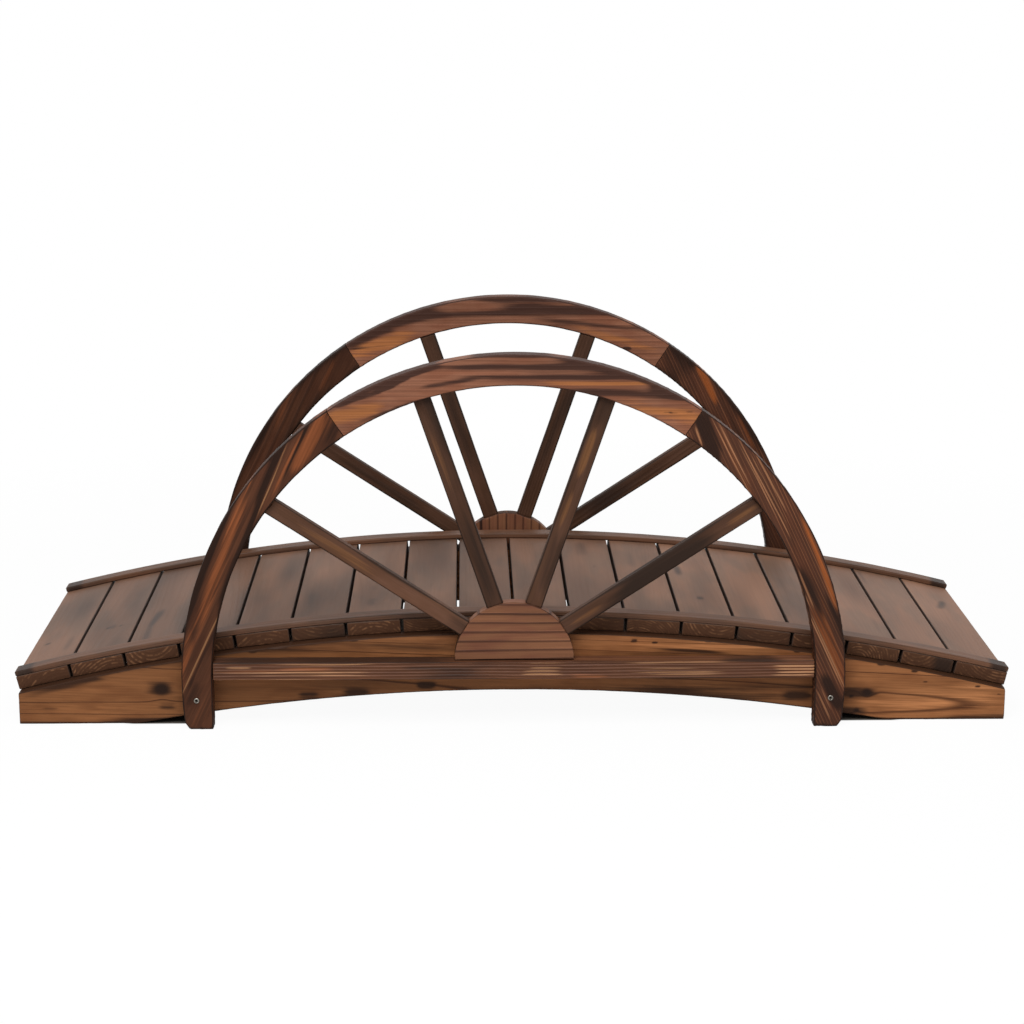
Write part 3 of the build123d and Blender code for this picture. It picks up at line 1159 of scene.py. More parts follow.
@dataclass
class SideBeams:
    """The two bowed beams on edge.

    Attributes:
        bow: Arc of their tops.
        spread: Distance between their outer faces, millimetres.
        thickness: Thickness of a beam.
        hollow_rise: Rise of the hollow below.
        foot: Length of each flat foot.
        middle_height: Height from which places across a beam's board are counted.
    """

    bow: Bow
    spread: float = 516.0
    thickness: float = 40.0
    hollow_rise: float = 47.5
    foot: float = 168.5
    middle_height: float = 60.0

    def underside(self, x: np.ndarray) -> np.ndarray:
        """Height of the beams' underside.

        Args:
            x: Places along the walkway.

        Returns:
            Height at each place.
        """
        reach = self.bow.length / 2 - self.foot
        radius = (reach**2 + self.hollow_rise**2) / (2 * self.hollow_rise)
        arc = self.hollow_rise - radius + np.sqrt(np.maximum(radius**2 - x**2, 0.0))
        return np.where(np.abs(x) < reach, np.maximum(arc, 0.0), 0.0)

    def log(self, side: Side) -> Log:
        """Where a beam's board lay in its tree.

        Args:
            side: Front or back.

        Returns:
            Its log.
        """
        if side is Side.BACK:
            return Log(
                pith=(10.0, 36.0), lean=(-0.01, 0.014), ring=9.0, ground_shade=1.0, darkening=1.0, wander=2.4, seed=37,
                knots=(Knot(-310.0, 10.0, 9.0), Knot(380.0, -6.0, 11.0)),
                burns=marks((380, -6, 30, 22, 0.6), (-600, 0, 60, 20, 0.4), (100, 30, 200, 9, 0.5, 0.05)),
                bares=marks((-450, -10, 120, 12, 0.5), (550, -25, 90, 10, 0.5)),
            )
        chips = (
            (585, -4), (569, 12), (660, -11), (691, -23), (521, 23), (-368, 46), (-325, 53), (-225, 63),
            (170, 59), (199, 56), (275, 59), (389, 47), (401, 43),
        )
        # Painted shade: the dark lines along this beam's top and bottom edges (margin_burn) stand for shade below the
        # planks and at the ground, and the mark at 290, -10 darkens the face below the bar as shade
        return Log(
            pith=(-17.8, -29.0), lean=(-0.03, -0.017), ring=12.0, jitter=0.15, phase=0.94, ground_shade=1.0, darkening=1.0,
            margin_burn=(0.6, 2.0), wander=0.6, tone=-0.25, fade=0.0009, seed=31,
            knots=(Knot(-498, -9, 9), Knot(502, -19, 6), Knot(488, -45, 3), Knot(480, -24, 2.5)),
            burns=marks(
                (-500, -9, 19, 13, 0.42), (492, -20, 28, 9, 0.7), (478, -46, 32, 7, 0.8), (-632, -3, 65, 8, 0.65, 0.27),
                (-656, -37, 14, 5, 0.5), (-606, -35, 22, 5, 0.5), (-491, -35, 13, 6, 0.5), (-494, -57, 70, 5, 0.8),
                (-124, -5.5, 13, 5, 1.0), (-223, -15, 18, 5, 0.6), (-291, -18.5, 15, 5, 0.6), (405, -22, 20, 7, 0.6),
                (-250, 52.5, 220, 10.5, 0.39), (290, -10, 170, 20, 0.45), (250, 34, 150, 11, 0.38),
                (230, 46, 60, 2.5, 0.7, -0.07), *((x, z, 4.5, 2, 0.9) for x, z in chips), (0, 10, 450, 90, 0.2),
            ),
            bares=marks(
                (605, -28, 100, 24, 0.6), (535, -32, 50, 9, 0.5), (260, 50, 140, 6, 0.5), (-230, 38, 150, 8, 0.2),
            ),
        )

    def build(self) -> None:
        """Makes both beams, the front one with more points."""
        half = self.bow.length / 2
        for side, stations, way in ((Side.FRONT, 521, 2.3), (Side.BACK, 381, 3.2)):
            x = np.linspace(-half, half, stations)
            y_low = min(side.value * self.spread / 2, side.value * (self.spread / 2 - self.thickness))
            Board(
                f"{side.name.lower()}_beam", np.stack([x, self.underside(x)], 1), np.stack([x, self.bow.height(x)], 1),
                y_low, self.thickness, BEAM_FIR, Grain((0.0, y_low + self.thickness / 2, self.middle_height)),
                self.log(side), ease=1.5, ways=(way, 4.0), slot="beam_fir",
            ).build()


@dataclass
class HalfWheelRail:
    """A rail in the shape of half a wagon wheel: rim, hub, spokes and bottom bar.

    Attributes:
        side: Which side of the bridge it stands on.
        spread: Distance between the beams' outer faces, millimetres.
        thickness: Thickness of the rim and the bar.
        outer: Outer radius of the rim.
        rim_width: Width of the rim.
        centre: Height of the rim's centre.
        joint: Angle of the rim's joints from upright, degrees.
        leg_end: Angle at which a leg's board ends, degrees.
        bevel: Width and height of the bevel at the foot.
        bar_top: Height of the bar's top.
        bar_height: Height of the bar.
        hub_radius: Radius of the hub.
        hub_blunt: How far the hub's two thin ends are cut back.
        hub_thickness: Thickness of the hub.
        spoke_width: Width of a spoke.
        spoke_thickness: Thickness of a spoke.
        spoke_angles: Angle of each spoke from upright, degrees, by its name.
        seat: Glue line at a coped seat.
        foot_stations: Sections of a leg from the level of the rim's centre to the bevel, and down the bevel.
        spoke_stations: Sections along a spoke.
        spoke_seeds: First seeds of the spokes' places in their trees and of their noise.
    """

    side: Side
    spread: float = 516.0
    thickness: float = 28.0
    outer: float = 466.5
    rim_width: float = 43.0
    centre: float = 66.5
    joint: float = 33.5
    leg_end: float = 96.0
    bevel: tuple[float, float] = (5.0, 9.0)
    bar_top: float = 97.5
    bar_height: float = 25.5
    hub_radius: float = 84.0
    hub_blunt: float = 0.35
    hub_thickness: float = 20.0
    spoke_width: float = 24.0
    spoke_thickness: float = 16.0
    spoke_angles: dict[str, float] = field(
        default_factory=lambda: {"left_low": -56.7, "left_high": -18.9, "right_high": 18.9, "right_low": 56.7}
    )
    seat: float = 0.2
    foot_stations: tuple[int, int] = (36, 6)
    spoke_stations: int = 121
    spoke_seeds: tuple[int, int] = (900, 930)

    @property
    def inner(self) -> float:
        """Inner radius of the rim."""
        return self.outer - self.rim_width

    @property
    def hub_seat(self) -> float:
        """Distance of the hub's flats from its middle."""
        return math.sqrt(self.hub_radius**2 - (self.spoke_width / 2) ** 2)

    @property
    def fineness(self) -> float:
        """Share of the mesh's points that this rail gets: fewer on the far one."""
        return 1.0 if self.side is Side.FRONT else 0.7

    def y_low(self, thickness: float) -> float:
        """Lowest y of a piece of this thickness that lies against the beam."""
        face = self.side.value * self.spread / 2
        return min(face, face + self.side.value * thickness)

    def arc(self, radius: float, angles: np.ndarray) -> np.ndarray:
        """Points of a circle about the rim's centre, at angles from upright in degrees."""
        turn = np.radians(angles)
        return np.stack([radius * np.sin(turn), self.centre + radius * np.cos(turn)], 1)

    def share(self, stations: int) -> int:
        """Number of stations that this rail gets of a full number."""
        return round(stations * self.fineness)

    def ways(self, *spacing: float) -> tuple[float, ...]:
        """Spacing of points on this rail, from that of the front one."""
        return tuple(way / self.fineness for way in spacing)

    def make(self, piece: str, *sizes: Any, **points: Any) -> None:
        """Makes one board of the rail from its name without the side and the board's other fields."""
        Board(f"{self.side.name.lower()}_{piece}", *sizes, **points).build()

    def top_log(self) -> Log:
        """Where the rim's middle piece lay in its tree.

        Returns:
            Its log.
        """
        if self.side is Side.BACK:
            return Log(
                pith=(-170.0, 6.0), ring=9.0, phase=0.3, wander=2.5, seed=57, margin_burn=(0.35, 3.0),
                burns=marks(
                    (-80, 14, 110, 6, 0.8, 0.04), (-190, -3, 85, 16, 0.95, 0.47, -0.0016), (-210, -37, 40, 2, 0.8, 0.1),
                    (90, 22, 110, 7, 0.8, -0.06), (150, -4, 90, 5, 0.7, -0.1), (190, -40, 8, 4, 0.9),
                    (20, 38, 70, 4, 0.8),
                ),
                bares=marks((-205, -34, 60, 14, 0.8, 0.3), (170, -24, 80, 9, 0.6, -0.3)),
            )
        specks = ((173, -29), (208, -37), (239, -37), (219, -38))
        return Log(
            pith=(-160.0, 12.0), ring=7.0, smoke=0.2, wander=1.4, seed=51, margin_burn=(0.25, 2.5),
            burns=marks(
                (-190, 0, 70, 6.5, 0.9, 0.47, -0.0016), (-193, -10.5, 34, 4.0, 0.6, 0.35),
                (-150, 11, 42, 5.0, 0.95, 0.45, -0.002), (10, 26.3, 130, 4.8, 0.95, 0.0, -0.0001),
                (-95, 3, 40, 4.0, 0.85, 0.14), (45, 12, 140, 4.2, 0.95), (-10, 41.8, 55, 2.6, 0.95),
                (-172, -35, 46, 4.5, 0.85, 0.32), (150, -11.5, 88, 7.0, 0.8, -0.05), (215, -14.5, 28, 3.0, 0.6, -0.2),
                (145, 19, 80, 6.5, 0.95, -0.33, -0.0016), *((x, z, 7, 2.5, 0.9) for x, z in specks),
            ),
            bares=marks((-222, -38, 45, 11, 0.9, 0.2), (120, 3, 90, 4, 0.7), (205, -36, 70, 12, 0.7, -0.2)),
        )

    def left_log(self) -> Log:
        """Where the rim's left leg lay in its tree: dark, with a spared stripe down its middle.

        Returns:
            Its log.
        """
        tree = partial(Log, pith=(-60.0, 44.0), lean=(0.015, 0.02), wander=2.0)
        if self.side is Side.BACK:
            return tree(
                ring=9.0, smoke=0.5, tone=-0.4, seed=67, margin_burn=(0.7, 8.0),
                bares=marks((-120, 2, 60, 8, 0.6, -0.05), (-185, -40, 30, 4, 0.6)),
            )
        return tree(
            ring=8.0, smoke=0.35, ground_shade=1.2, seed=61, margin_burn=(0.5, 3.0),
            bares=marks(
                (-195, -43.5, 52, 11, 1.0, 0.11), (-155, -27.8, 58, 3.4, 0.75), (-98, 7, 20, 2.6, 0.6),
                (10, -1.5, 112, 8.5, 0.9, -0.085), (165, -14, 50, 8, 0.5, -0.2), (225, -62, 40, 12, 0.3),
            ),
            splits=marks((-122, -18.9, 62, 1.1, 0.95, -0.036), (150, -29.4, 66, 1.1, 1.2)),
            burns=marks(
                (-175, -31.7, 45, 2.2, 1.0), (-133, -11, 55, 6, 0.7), (20, 16.5, 115, 6.5, 0.95, -0.06, -0.0004),
                (-10, -20, 90, 6, 0.85, -0.04), (-225, -67, 28, 8, 0.5), (205, -45, 24, 11, 0.75),
                (150, -34, 60, 3, 0.7), (180, -5, 40, 9, 0.6, -0.4),
            ),
        )

    def right_log(self) -> Log:
        """Where the rim's right leg lay in its tree: dark, with thin tan lines down it.

        Returns:
            Its log.
        """
        tree = partial(Log, pith=(-150.0, 20.0), lean=(0.006, 0.0), jitter=0.9, wander=1.0)
        if self.side is Side.BACK:
            return tree(
                ring=4.6, smoke=0.5, tone=-0.3, seed=73, margin_burn=(0.6, 7.0),
                bares=marks((-165, -18, 45, 8, 1.0), (-60, 6, 40, 5, 0.5)),
                burns=marks((-215, -40, 35, 30, 0.5), (200, -50, 40, 14, 0.5)),
            )
        return tree(
            ring=4.2, ground_shade=1.2, seed=71, margin_burn=(0.45, 3.0),
            bares=marks(
                (22, 13.5, 78, 4.5, 0.95, -0.05, -0.0004), (-150, -36, 75, 5, 0.35, 0.03),
                (140, -20, 75, 14, 0.45, -0.1),
            ),
            splits=marks(
                (-160, -37.5, 72, 1.1, 0.85, 0.03), (-165, -32, 58, 1.1, 0.85, 0.03),
                (-108, -13.8, 88, 1.2, 0.9, 0.055), (-125, -18, 70, 1.3, 0.75, 0.05),
                (-110, -2.5, 55, 1.5, 0.85, 0.055), (-100, -8.5, 62, 1.1, 0.7, 0.05),
                (147, -27.6, 68, 1.1, 1.1), (147, -30.4, 66, 1.0, 1.0), (150, -34, 62, 0.9, 0.8),
                (50, -19, 32, 1.5, 0.85, -0.04), (20, -24.5, 62, 1.2, 0.7), (218, -65, 27, 2.0, 0.75),
                (212, -59, 22, 1.4, 0.6), (-212, -66, 16, 1.7, 0.8, -0.1),
            ),
            burns=marks(
                (-205, -52, 38, 12, 0.8), (60, -14, 45, 5, 0.6), (115, 2, 45, 6, 0.6), (205, -47, 30, 12, 0.9),
            ),
        )

    def build_rim(self) -> None:
        """Makes the three pieces of the rim."""
        angles = np.linspace(-self.joint, self.joint, self.share(361))
        y_low = self.y_low(self.thickness)
        grain = Grain((0.0, y_low + self.thickness / 2, self.centre + self.inner))
        self.make(
            "rim_top", self.arc(self.inner, angles), self.arc(self.outer, angles), y_low, self.thickness, RIM_TOP_FIR,
            grain, self.top_log(), ease=2.2, ways=self.ways(1.3, 3.5), end_ease=0.8,
        )
        self.build_leg(Hand.LEFT, LEG_DARK_FIR, self.left_log())
        self.build_leg(Hand.RIGHT, LEG_LINED_FIR, self.right_log())

    def build_leg(self, hand: Hand, finish: FirFinish, log: Log) -> None:
        """Makes the left or right piece of the rim, down to its bevelled foot.

        Args:
            hand: Left or right.
            finish: Its finish.
            log: Where it lay in its tree.
        """
        angles = np.linspace(self.joint, 90.0, self.share(301))
        (wide, high), (above, below) = self.bevel, self.foot_stations
        heights = np.concatenate([np.linspace(self.centre, high, above)[1:], np.linspace(high, 0.0, below)[1:]])
        reach = np.sqrt(self.outer**2 - (self.centre - heights) ** 2)
        ground = math.sqrt(self.outer**2 - self.centre**2) - wide
        start = math.sqrt(self.outer**2 - (self.centre - high) ** 2)
        low = heights < high
        reach[low] = ground + (start - ground) * heights[low] / high
        inside = np.stack([np.full(len(heights), self.inner), heights], 1)
        lower = np.concatenate([self.arc(self.inner, angles), inside])
        upper = np.concatenate([self.arc(self.outer, angles), np.stack([reach, heights], 1)])
        mirror = np.array([hand.value, 1.0])
        turn = math.radians((self.joint + self.leg_end) / 2)
        sine, cosine, radius = hand.value * math.sin(turn), math.cos(turn), (self.inner + self.outer) / 2
        y_low = self.y_low(self.thickness)
        middle = (radius * sine, y_low + self.thickness / 2, self.centre + radius * cosine)
        grain = Grain(middle, (hand.value * cosine, 0.0, -math.sin(turn)), (sine, 0.0, cosine))
        self.make(
            f"rim_leg_{hand.name.lower()}", lower * mirror, upper * mirror, y_low, self.thickness, finish, grain, log,
            ease=2.2, ways=self.ways(1.2, 3.5), end_ease=0.8,
        )

    def bar_log(self) -> Log:
        """Where the bottom bar lay in its tree.

        Returns:
            Its log.
        """
        return Log(
            pith=(52.0, 10.0), lean=(0.006, 0.01), ring=4.6, smoke=0.4, wander=1.6, seed=81 + self.side.value,
            splits=marks(
                (-386, 6, 20, 1.6, 1.1), (-265, 9.9, 78, 1.1, 0.8), (-300, -1.8, 115, 1.3, 0.8),
                (-300, -6, 112, 1.1, 0.7), (-340, -12.4, 82, 1.3, 0.9), (230, 10.3, 86, 1.2, 1.1),
                (225, -3, 72, 1.3, 0.85), (235, -6.2, 66, 1.1, 0.8), (215, 2, 52, 1.1, 0.7), (400, 4.5, 34, 1.0, 1.0),
                (400, 0.3, 34, 1.0, 1.1), (400, -4, 34, 1.0, 1.0), (393, -8, 32, 1.1, 0.75), (40, -1.5, 30, 1.8, 0.8),
                (40, -6, 30, 1.3, 0.8), (46, 3, 26, 1.2, 0.7), (46, 10, 32, 1.2, 0.7),
            ),
            bares=marks((-295, 2, 45, 4, 0.7), (105, -8, 30, 4, 0.7), (400, -1, 40, 9, 0.35), (-370, 0, 50, 8, 0.4)),
            burns=marks(
                (-105, 3, 70, 10, 0.5), (-260, 13.5, 170, 2.0, 0.9), (330, 12, 45, 3, 0.6), (-20, 10, 40, 4, 0.4),
            ),
        )

    def build_bar(self) -> None:
        """Makes the level bar between the legs."""
        low = self.bar_top - self.bar_height
        reach = math.sqrt(self.inner**2 - (self.bar_top - self.centre) ** 2) - self.seat
        x = np.linspace(-reach, reach, self.share(281))
        y_low = self.y_low(self.thickness)
        grain = Grain((0.0, y_low + self.thickness / 2, low + self.bar_height / 2))
        lower, upper = (np.stack([x, np.full(len(x), z)], 1) for z in (low, self.bar_top))
        self.make(
            "bottom_bar", lower, upper, y_low, self.thickness, BAR_FIR, grain, self.bar_log(), ease=1.8,
            ways=self.ways(0.9, 1.6),
        )

    def build_hub(self) -> None:
        """Makes the half hub with its flats under the spokes, its grain upright on the far rail."""
        reach = self.hub_radius - self.hub_blunt
        x = reach * np.sin(np.radians(np.linspace(-90.0, 90.0, self.share(161))))
        top = np.sqrt(self.hub_radius**2 - x**2)
        for angle in self.spoke_angles.values():
            turn = math.radians(angle)
            top = np.minimum(top, (self.hub_seat - x * math.sin(turn)) / math.cos(turn))
        y_low = self.y_low(self.hub_thickness)
        middle = (0.0, y_low + self.hub_thickness / 2, self.bar_top + self.hub_radius / 2)
        ways = (ALONG_X, ALONG_Z) if self.side is Side.FRONT else (ALONG_Z, ALONG_X)
        log = Log(
            pith=(-300.0, 10.0), lean=(0.01, 0.0), ring=13.3, jitter=0.0, phase=0.39, smoke=0.25, wander=1.8,
            seed=91 + self.side.value, burns=marks((0, -42.5, 90, 2.5, 1.0), (20, 30, 40, 7, 0.3)),
        )
        self.make(
            "hub", np.stack([x, np.full(len(x), self.bar_top)], 1), np.stack([x, self.bar_top + top], 1), y_low,
            self.hub_thickness, HUB_FIR, Grain(middle, *ways), log, ease=1.6, ways=self.ways(1.4, 2.5),
        )

    def spoke_marks(self, place: str) -> tuple[float, tuple[Mark, ...], tuple[Mark, ...]]:
        """How a spoke is toned and marked.

        Args:
            place: Its name.

        Returns:
            How light it is, where it is scorched and where the flame spared it.
        """
        if self.side is Side.BACK:
            return -0.4, marks((0, 0, 90, 10, 0.5)), ()
        return {
            "left_low": (0.6, marks((-165, 0, 40, 14, 0.6), (-40, 10, 60, 3, 0.5)), marks((50, -2, 70, 7, 0.5))),
            "left_high": (-0.75, marks((-80, 0, 80, 10, 0.6), (120, 6, 60, 7, 0.6)), marks((60, -3, 55, 5, 0.45))),
            "right_high": (
                0.0, marks((-90, 3, 55, 12, 0.6), (140, 4, 30, 8, 0.5)),
                marks((75, -2, 36, 6, 0.9), (-10, -2, 30, 5, 0.5)),
            ),
            "right_low": (0.0, marks((15, 0, 80, 14, 0.85)), marks((135, 0, 30, 8, 0.5), (-125, 2, 30, 7, 0.45))),
        }[place]

    def build_spokes(self) -> None:
        """Makes the four spokes between the hub and the rim."""
        y_mid = self.side.value * (self.spread / 2 + self.hub_thickness / 2)
        for number, (place, angle) in enumerate(self.spoke_angles.items()):
            turn = math.radians(angle)
            along = np.array([math.sin(turn), math.cos(turn)])
            across = np.array([math.cos(turn), -math.sin(turn)])
            edges = []
            for edge in (-0.5, 0.5):
                start = np.array([0.0, self.bar_top]) + across * edge * self.spoke_width
                from_centre = start - np.array([0.0, self.centre])
                forward = float(from_centre @ along)
                rest = (self.inner - self.seat) ** 2 - float(from_centre @ from_centre)
                end = -forward + math.sqrt(forward**2 + rest)
                edges.append(start + along * np.linspace(self.hub_seat, end, self.spoke_stations)[:, None])
            middle = sum(edge[self.spoke_stations // 2] for edge in edges) / 2
            grain = Grain((middle[0], y_mid, middle[1]), (along[0], 0.0, along[1]), (across[0], 0.0, across[1]))
            rng = np.random.default_rng(self.spoke_seeds[0] + number + 10 * self.side.value)
            tone, burns, bares = self.spoke_marks(place)
            log = Log(
                pith=(rng.uniform(-30, 30), rng.uniform(20, 40)),
                lean=(rng.uniform(-0.02, 0.02), rng.uniform(-0.02, 0.02)), ring=rng.uniform(3.2, 5.0), smoke=0.5,
                mottle=0.9, wander=1.5, tone=tone, burns=burns, bares=bares, margin_burn=(0.3, 3.0),
                seed=self.spoke_seeds[1] + number + 20 * self.side.value,
            )
            self.make(
                f"spoke_{place}", *edges, y_mid - self.spoke_thickness / 2, self.spoke_thickness, SPOKE_FIR, grain, log,
                ease=2.4, ways=(1.8, 3.0), end_ease=0.5,
            )

    def build(self) -> None:
        """Makes the whole rail."""
        for step in (self.build_rim, self.build_bar, self.build_hub, self.build_spokes):
            step()


@dataclass
class LegScrews:
    """Cross-head screws that hold the rim legs to the beams.

    Attributes:
        reach: Distance of the screws from the middle, along the walkway, millimetres.
        face: Distance of the legs' outer faces from the middle.
        height: Height above the ground.
        radius: Radius of a head.
        proud: How far a head stands out.
        turns: Points round a head.
        rings: Share of the radius and of the height at each loop of a head, from its seat to its recess.
        recess: Share of the radius within which a head is recessed.
        arms: Share of a quarter turn that an arm of the cross takes.
        floor_share: Share of the radius at the recess's floor, and what an arm adds.
        floor_rise: Share of the height at the recess's floor, and what is added between the arms.
    """

    reach: float = 446.0
    face: float = 286.0
    height: float = 42.5
    radius: float = 4.0
    proud: float = 1.6
    turns: int = 32
    rings: tuple[tuple[float, float], ...] = (
        (1.0, -0.3), (1.0, 0.35), (0.93, 0.72), (0.8, 0.95), (0.7, 1.0), (0.62, 1.0),
    )
    recess: float = 0.6
    arms: float = 0.45
    floor_share: tuple[float, float] = (0.22, 0.34)
    floor_rise: tuple[float, float] = (0.1, 0.15)

    def head(self) -> Mesh:
        """One pan head with its cross recess, facing -Y, its seat at the origin.

        Returns:
            The head's mesh.
        """
        shell = bmesh.new()
        turn = 2 * math.pi * np.arange(self.turns) / self.turns
        arm = np.maximum(np.abs(np.cos(2 * turn)) - (1.0 - self.arms), 0.0) / self.arms
        (least, longer), (deepest, higher) = self.floor_share, self.floor_rise
        loops = []
        for share, rise in (*self.rings, (least + longer * arm, deepest + higher * (1.0 - arm))):
            out = np.full(self.turns, -self.proud * rise)
            places = np.stack([np.cos(turn) * share * self.radius, out, np.sin(turn) * share * self.radius], 1)
            loops.append([shell.verts.new(place) for place in places * MM])
        for first, second in zip(loops, loops[1:]):
            for step in range(self.turns):
                after = (step + 1) % self.turns
                shell.faces.new((first[step], first[after], second[after], second[step]))
        shell.faces.new(loops[-1])
        shell.faces.new(loops[0][::-1])
        bmesh.ops.recalc_face_normals(shell, faces=shell.faces)
        mesh = bpy.data.meshes.new("leg_screw_head")
        shell.to_mesh(mesh)
        shell.free()
        away = np.hypot(*mesh_points(mesh)[0][:, ::2].T)
        store_fields(mesh, {"recess": np.where(away < self.recess * self.radius, 1.0, 0.0)})
        return mesh

    def material(self) -> Material:
        """Zinc-plated steel, bright, a little sooty: sharp small highlights, and the recess painted black as shade.

        Returns:
            The material.
        """
        material, node = new_material("zinc_plated_steel_screw")
        # Soot and handling marks of about half a millimetre
        darkening = node("TexNoise", node("TexCoord", out="Object"), None, 2000.0, 2.0)
        steel = node("Mix", darkening, named={UNDER: linear("#A9A59C"), OVER: linear("#5A554E")}, **COLOUR_MIX)
        # The recess is painted black as shade
        recess = node("Attribute", out="Fac", attribute_name="recess")
        colour = node("Mix", recess, named={UNDER: steel, OVER: linear("#0E0B09")}, **COLOUR_MIX)
        rough = node("MapRange", darkening, None, None, 0.22, 0.45)
        inputs = {"Base Color": colour, "Metallic": 1.0, "Roughness": rough}
        node("OutputMaterial", node("BsdfPrincipled", named=inputs))
        return material

    def tree(self, values: dict[str, Any]) -> Tree:
        """Tree that puts a screw in each leg, each driven to a different turn.

        Args:
            values: Its named inputs.

        Returns:
            The tree.
        """
        tree, given = node_tree("screws_in_legs", values)
        node = partial(add_node, tree)
        wide, deep = (node("Math", given[key], 2.0, **TIMES) for key in ("Reach", "Face"))
        lift = node("CombineXYZ", None, None, given["Height"])
        grid = node("GeometryNodeMeshGrid", wide, deep, 2, 2)
        points = node("GeometryNodeSetPosition", grid, None, None, lift)
        y = node("SeparateXYZ", node("GeometryNodeInputPosition"), out=1)
        about = node("Math", node("Math", y, 0.0, operation="GREATER_THAN"), math.pi, **TIMES)
        driven = node("Math", node("GeometryNodeInputIndex"), 0.7, 0.35, **TIMES_ADD)
        turn = node("FunctionNodeEulerToRotation", node("CombineXYZ", None, driven, about))
        laid = node("GeometryNodeInstanceOnPoints", points, None, given["Geometry"], named={"Rotation": turn})
        end_tree(tree, laid, given["Finish"])
        return tree

    def build(self) -> None:
        """Puts a screw in each leg, all as one piece."""
        values = {
            "Reach": self.reach * MM, "Face": self.face * MM, "Height": self.height * MM, "Finish": self.material(),
        }
        piece = grow("leg_screws", self.head(), self.tree(values), values)
        piece.data.shade_smooth()
        piece.data.set_sharp_from_angle(angle=math.radians(40))
        settle(piece, [])


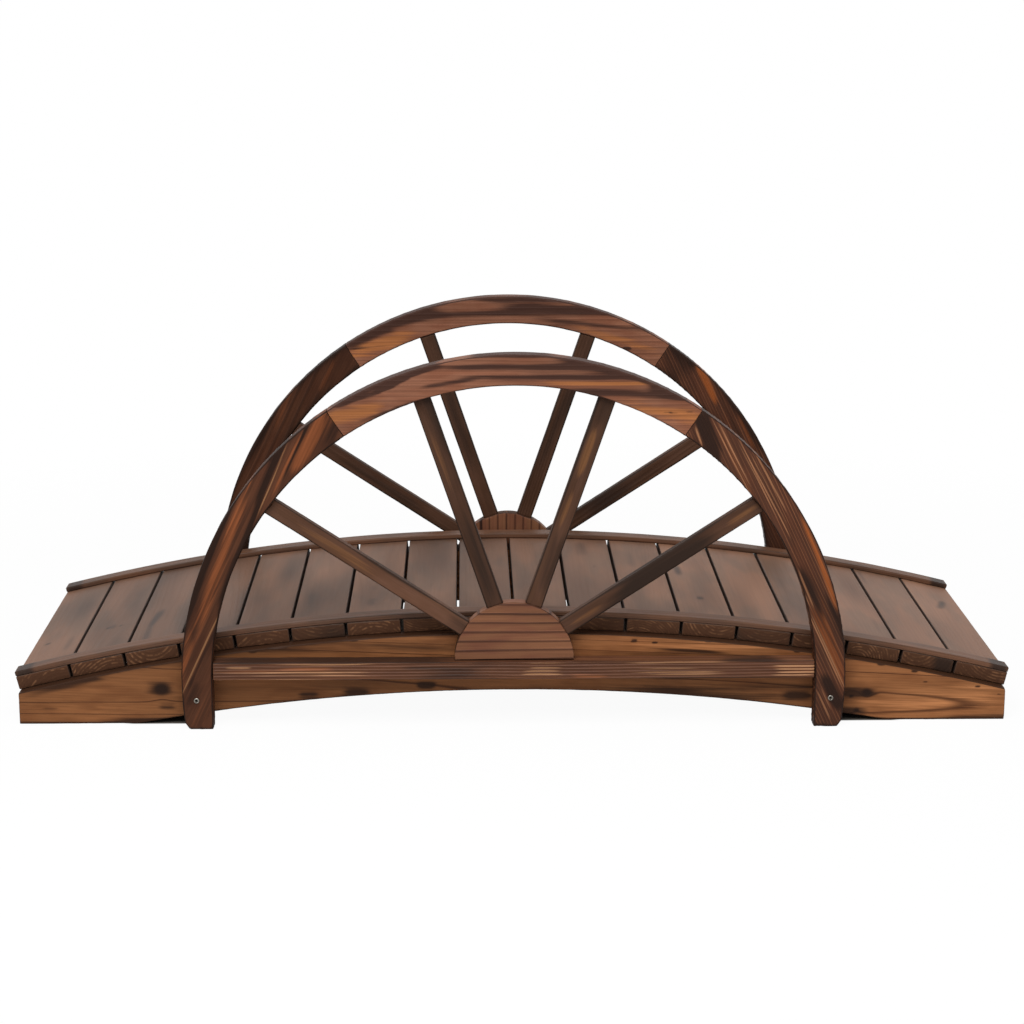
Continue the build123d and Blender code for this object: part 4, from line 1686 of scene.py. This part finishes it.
@dataclass
class Studio:
    """Plain white studio: floor, soft light and the camera of the photograph.

    Attributes:
        place: Camera's place, millimetres.
        yaw: Turn of its view to the right of +Y, radians.
        pitch: Tilt of its view below level, radians.
        roll: Turn of its frame about the view, radians.
        lens: Focal length, millimetres on a 36 mm wide sensor.
        floor_reach: Half the width of the floor, metres.
        lamp_place: Place of the lamp, metres.
        lamp_aim: Place it shines at, metres.
        lamp_size: Width of the lamp, metres.
        lamp_power: Power of the lamp, watts.
        world_light: Strength of the light from all round.
        paper: Colours of the floor in the painted shadow and in the open.
        glow: Distances between which the floor's own white grows, metres, and its share at each.
        painted_shadows: Places on the floor painted dark as shadow, in metres: middle along the walkway on both sides,
        then where the dark is full and where it ends along the walkway, where it starts and is full in front, and where
        it is full and ends behind.
    """

    place: Vec3 = (-67.9, -3515.8, 1086.1)
    yaw: float = 0.0199
    pitch: float = 0.2348
    roll: float = 0.0014
    lens: float = 84.58
    floor_reach: float = 30.0
    lamp_place: Vec3 = (-0.4, -2.0, 3.0)
    lamp_aim: Vec3 = (0.0, 0.0, 0.2)
    lamp_size: float = 2.4
    lamp_power: float = 130.0
    world_light: float = 0.42
    paper: tuple[str, str] = ("#5E5954", "#E6E6E6")
    glow: tuple[float, float, float, float] = (0.8, 1.8, 0.95, 1.0)
    painted_shadows: tuple[tuple[float, ...], ...] = (
        (0.0, 0.5, 0.68, -0.09, 0.0, 0.29, 0.36), (0.497, 0.04, 0.06, -0.262, -0.257, -0.2, -0.15),
    )

    def build_camera(self) -> None:
        """Sets the camera."""
        data = bpy.data.cameras.new("photo_camera")
        data.sensor_width = 36.0
        data.lens = self.lens
        data.clip_end = 100.0
        level = math.cos(self.pitch)
        forward = Vector((math.sin(self.yaw) * level, math.cos(self.yaw) * level, -math.sin(self.pitch)))
        turn = forward.to_track_quat("-Z", "Y").to_matrix().to_4x4()
        camera = new_object("photo_camera", data)
        camera.matrix_world = Matrix.Translation(Vector(self.place) * MM) @ turn @ Matrix.Rotation(self.roll, 4, "Z")
        bpy.context.scene.camera = camera

    def build_floor(self) -> None:
        """Lays the pale floor, which looks white to the camera and keeps the bridge's shadow, with shadow painted under
        the deck and behind the legs.
        """
        mesh = bpy.data.meshes.new("studio_floor")
        far = self.floor_reach
        mesh.from_pydata([(-far, -far, 0), (far, -far, 0), (far, far, 0), (-far, far, 0)], [], [(0, 1, 2, 3)])
        material, node = new_material("white_studio_paper")
        spot = node("TexCoord", out="Object")
        x, y, _ = node("SeparateXYZ", spot).node.outputs
        aside = node("Math", x, operation="ABSOLUTE")
        dark = []
        # Painted shadow: deep under the deck, which is what the gaps between the planks look down on, and right behind
        # each leg, where the hollow starts and the beam all but touches the paper, the paper is painted dark and does
        # not glow white
        for middle, full_off, end_off, start_y, full_y, last_y, end_y in self.painted_shadows:
            off = node("Math", node("Math", aside, middle, **LESS), operation="ABSOLUTE")
            across, front, back = (
                node("MapRange", value, clear, full, **SMOOTH)
                for value, clear, full in ((off, end_off, full_off), (y, start_y, full_y), (y, end_y, last_y))
            )
            dark.append(node("Math", node("Math", across, front, **TIMES), back, **TIMES))
        outside_painted_shadow = node("Math", 1.0, node("Math", *dark, **LARGER), **LESS)
        away = node("VectorMath", spot, out="Value", operation="LENGTH")
        share = node("Math", outside_painted_shadow, node("MapRange", away, *self.glow), **TIMES)
        seen = node("Math", node("LightPath", out="Is Camera Ray"), share, **TIMES)
        painted_shadow_paper, clear = map(linear, self.paper)
        sheet = node("Mix", outside_painted_shadow, named={UNDER: painted_shadow_paper, OVER: clear}, **COLOUR_MIX)
        white = node("Emission", linear(WHITE), 1.0)
        node("OutputMaterial", node("MixShader", seen, node("BsdfDiffuse", sheet), white))
        mesh.materials.append(material)
        new_object("studio_floor", mesh)

    def build_light(self) -> None:
        """Lights the bridge softly from all round, with a broad lamp above the front."""
        world = bpy.data.worlds.new("white_studio")
        bpy.context.scene.world = world
        world.use_nodes = True
        world.node_tree.nodes.clear()
        node = partial(add_node, world.node_tree)
        path = node("LightPath").node.outputs
        seen = node("Math", path["Is Camera Ray"], path["Is Glossy Ray"], **LARGER)
        through = node("Math", seen, path["Is Transmission Ray"], **LARGER)
        strength = node("MapRange", through, None, None, self.world_light, 1.0)
        node("OutputWorld", node("Background", linear(WHITE), strength))
        data = bpy.data.lights.new("overhead_softbox", "AREA")
        data.size = self.lamp_size
        data.energy = self.lamp_power
        place = Vector(self.lamp_place)
        turn = (Vector(self.lamp_aim) - place).to_track_quat("-Z", "Y").to_matrix().to_4x4()
        new_object("overhead_softbox", data).matrix_world = Matrix.Translation(place) @ turn

    def build(self) -> None:
        """Sets up the camera, the floor and the light."""
        self.build_camera()
        self.build_floor()
        self.build_light()
        bpy.context.scene.view_settings.view_transform = "Standard"


def main() -> None:
    """Builds the bridge and the studio."""
    logging.basicConfig(level=logging.INFO, format="%(name)s %(message)s")
    bow = Bow()
    Deck(bow).build()
    SideBeams(bow).build()
    for side in Side:
        HalfWheelRail(side).build()
    LegScrews().build()
    Studio().build()


if __name__ == "__main__":
    main()
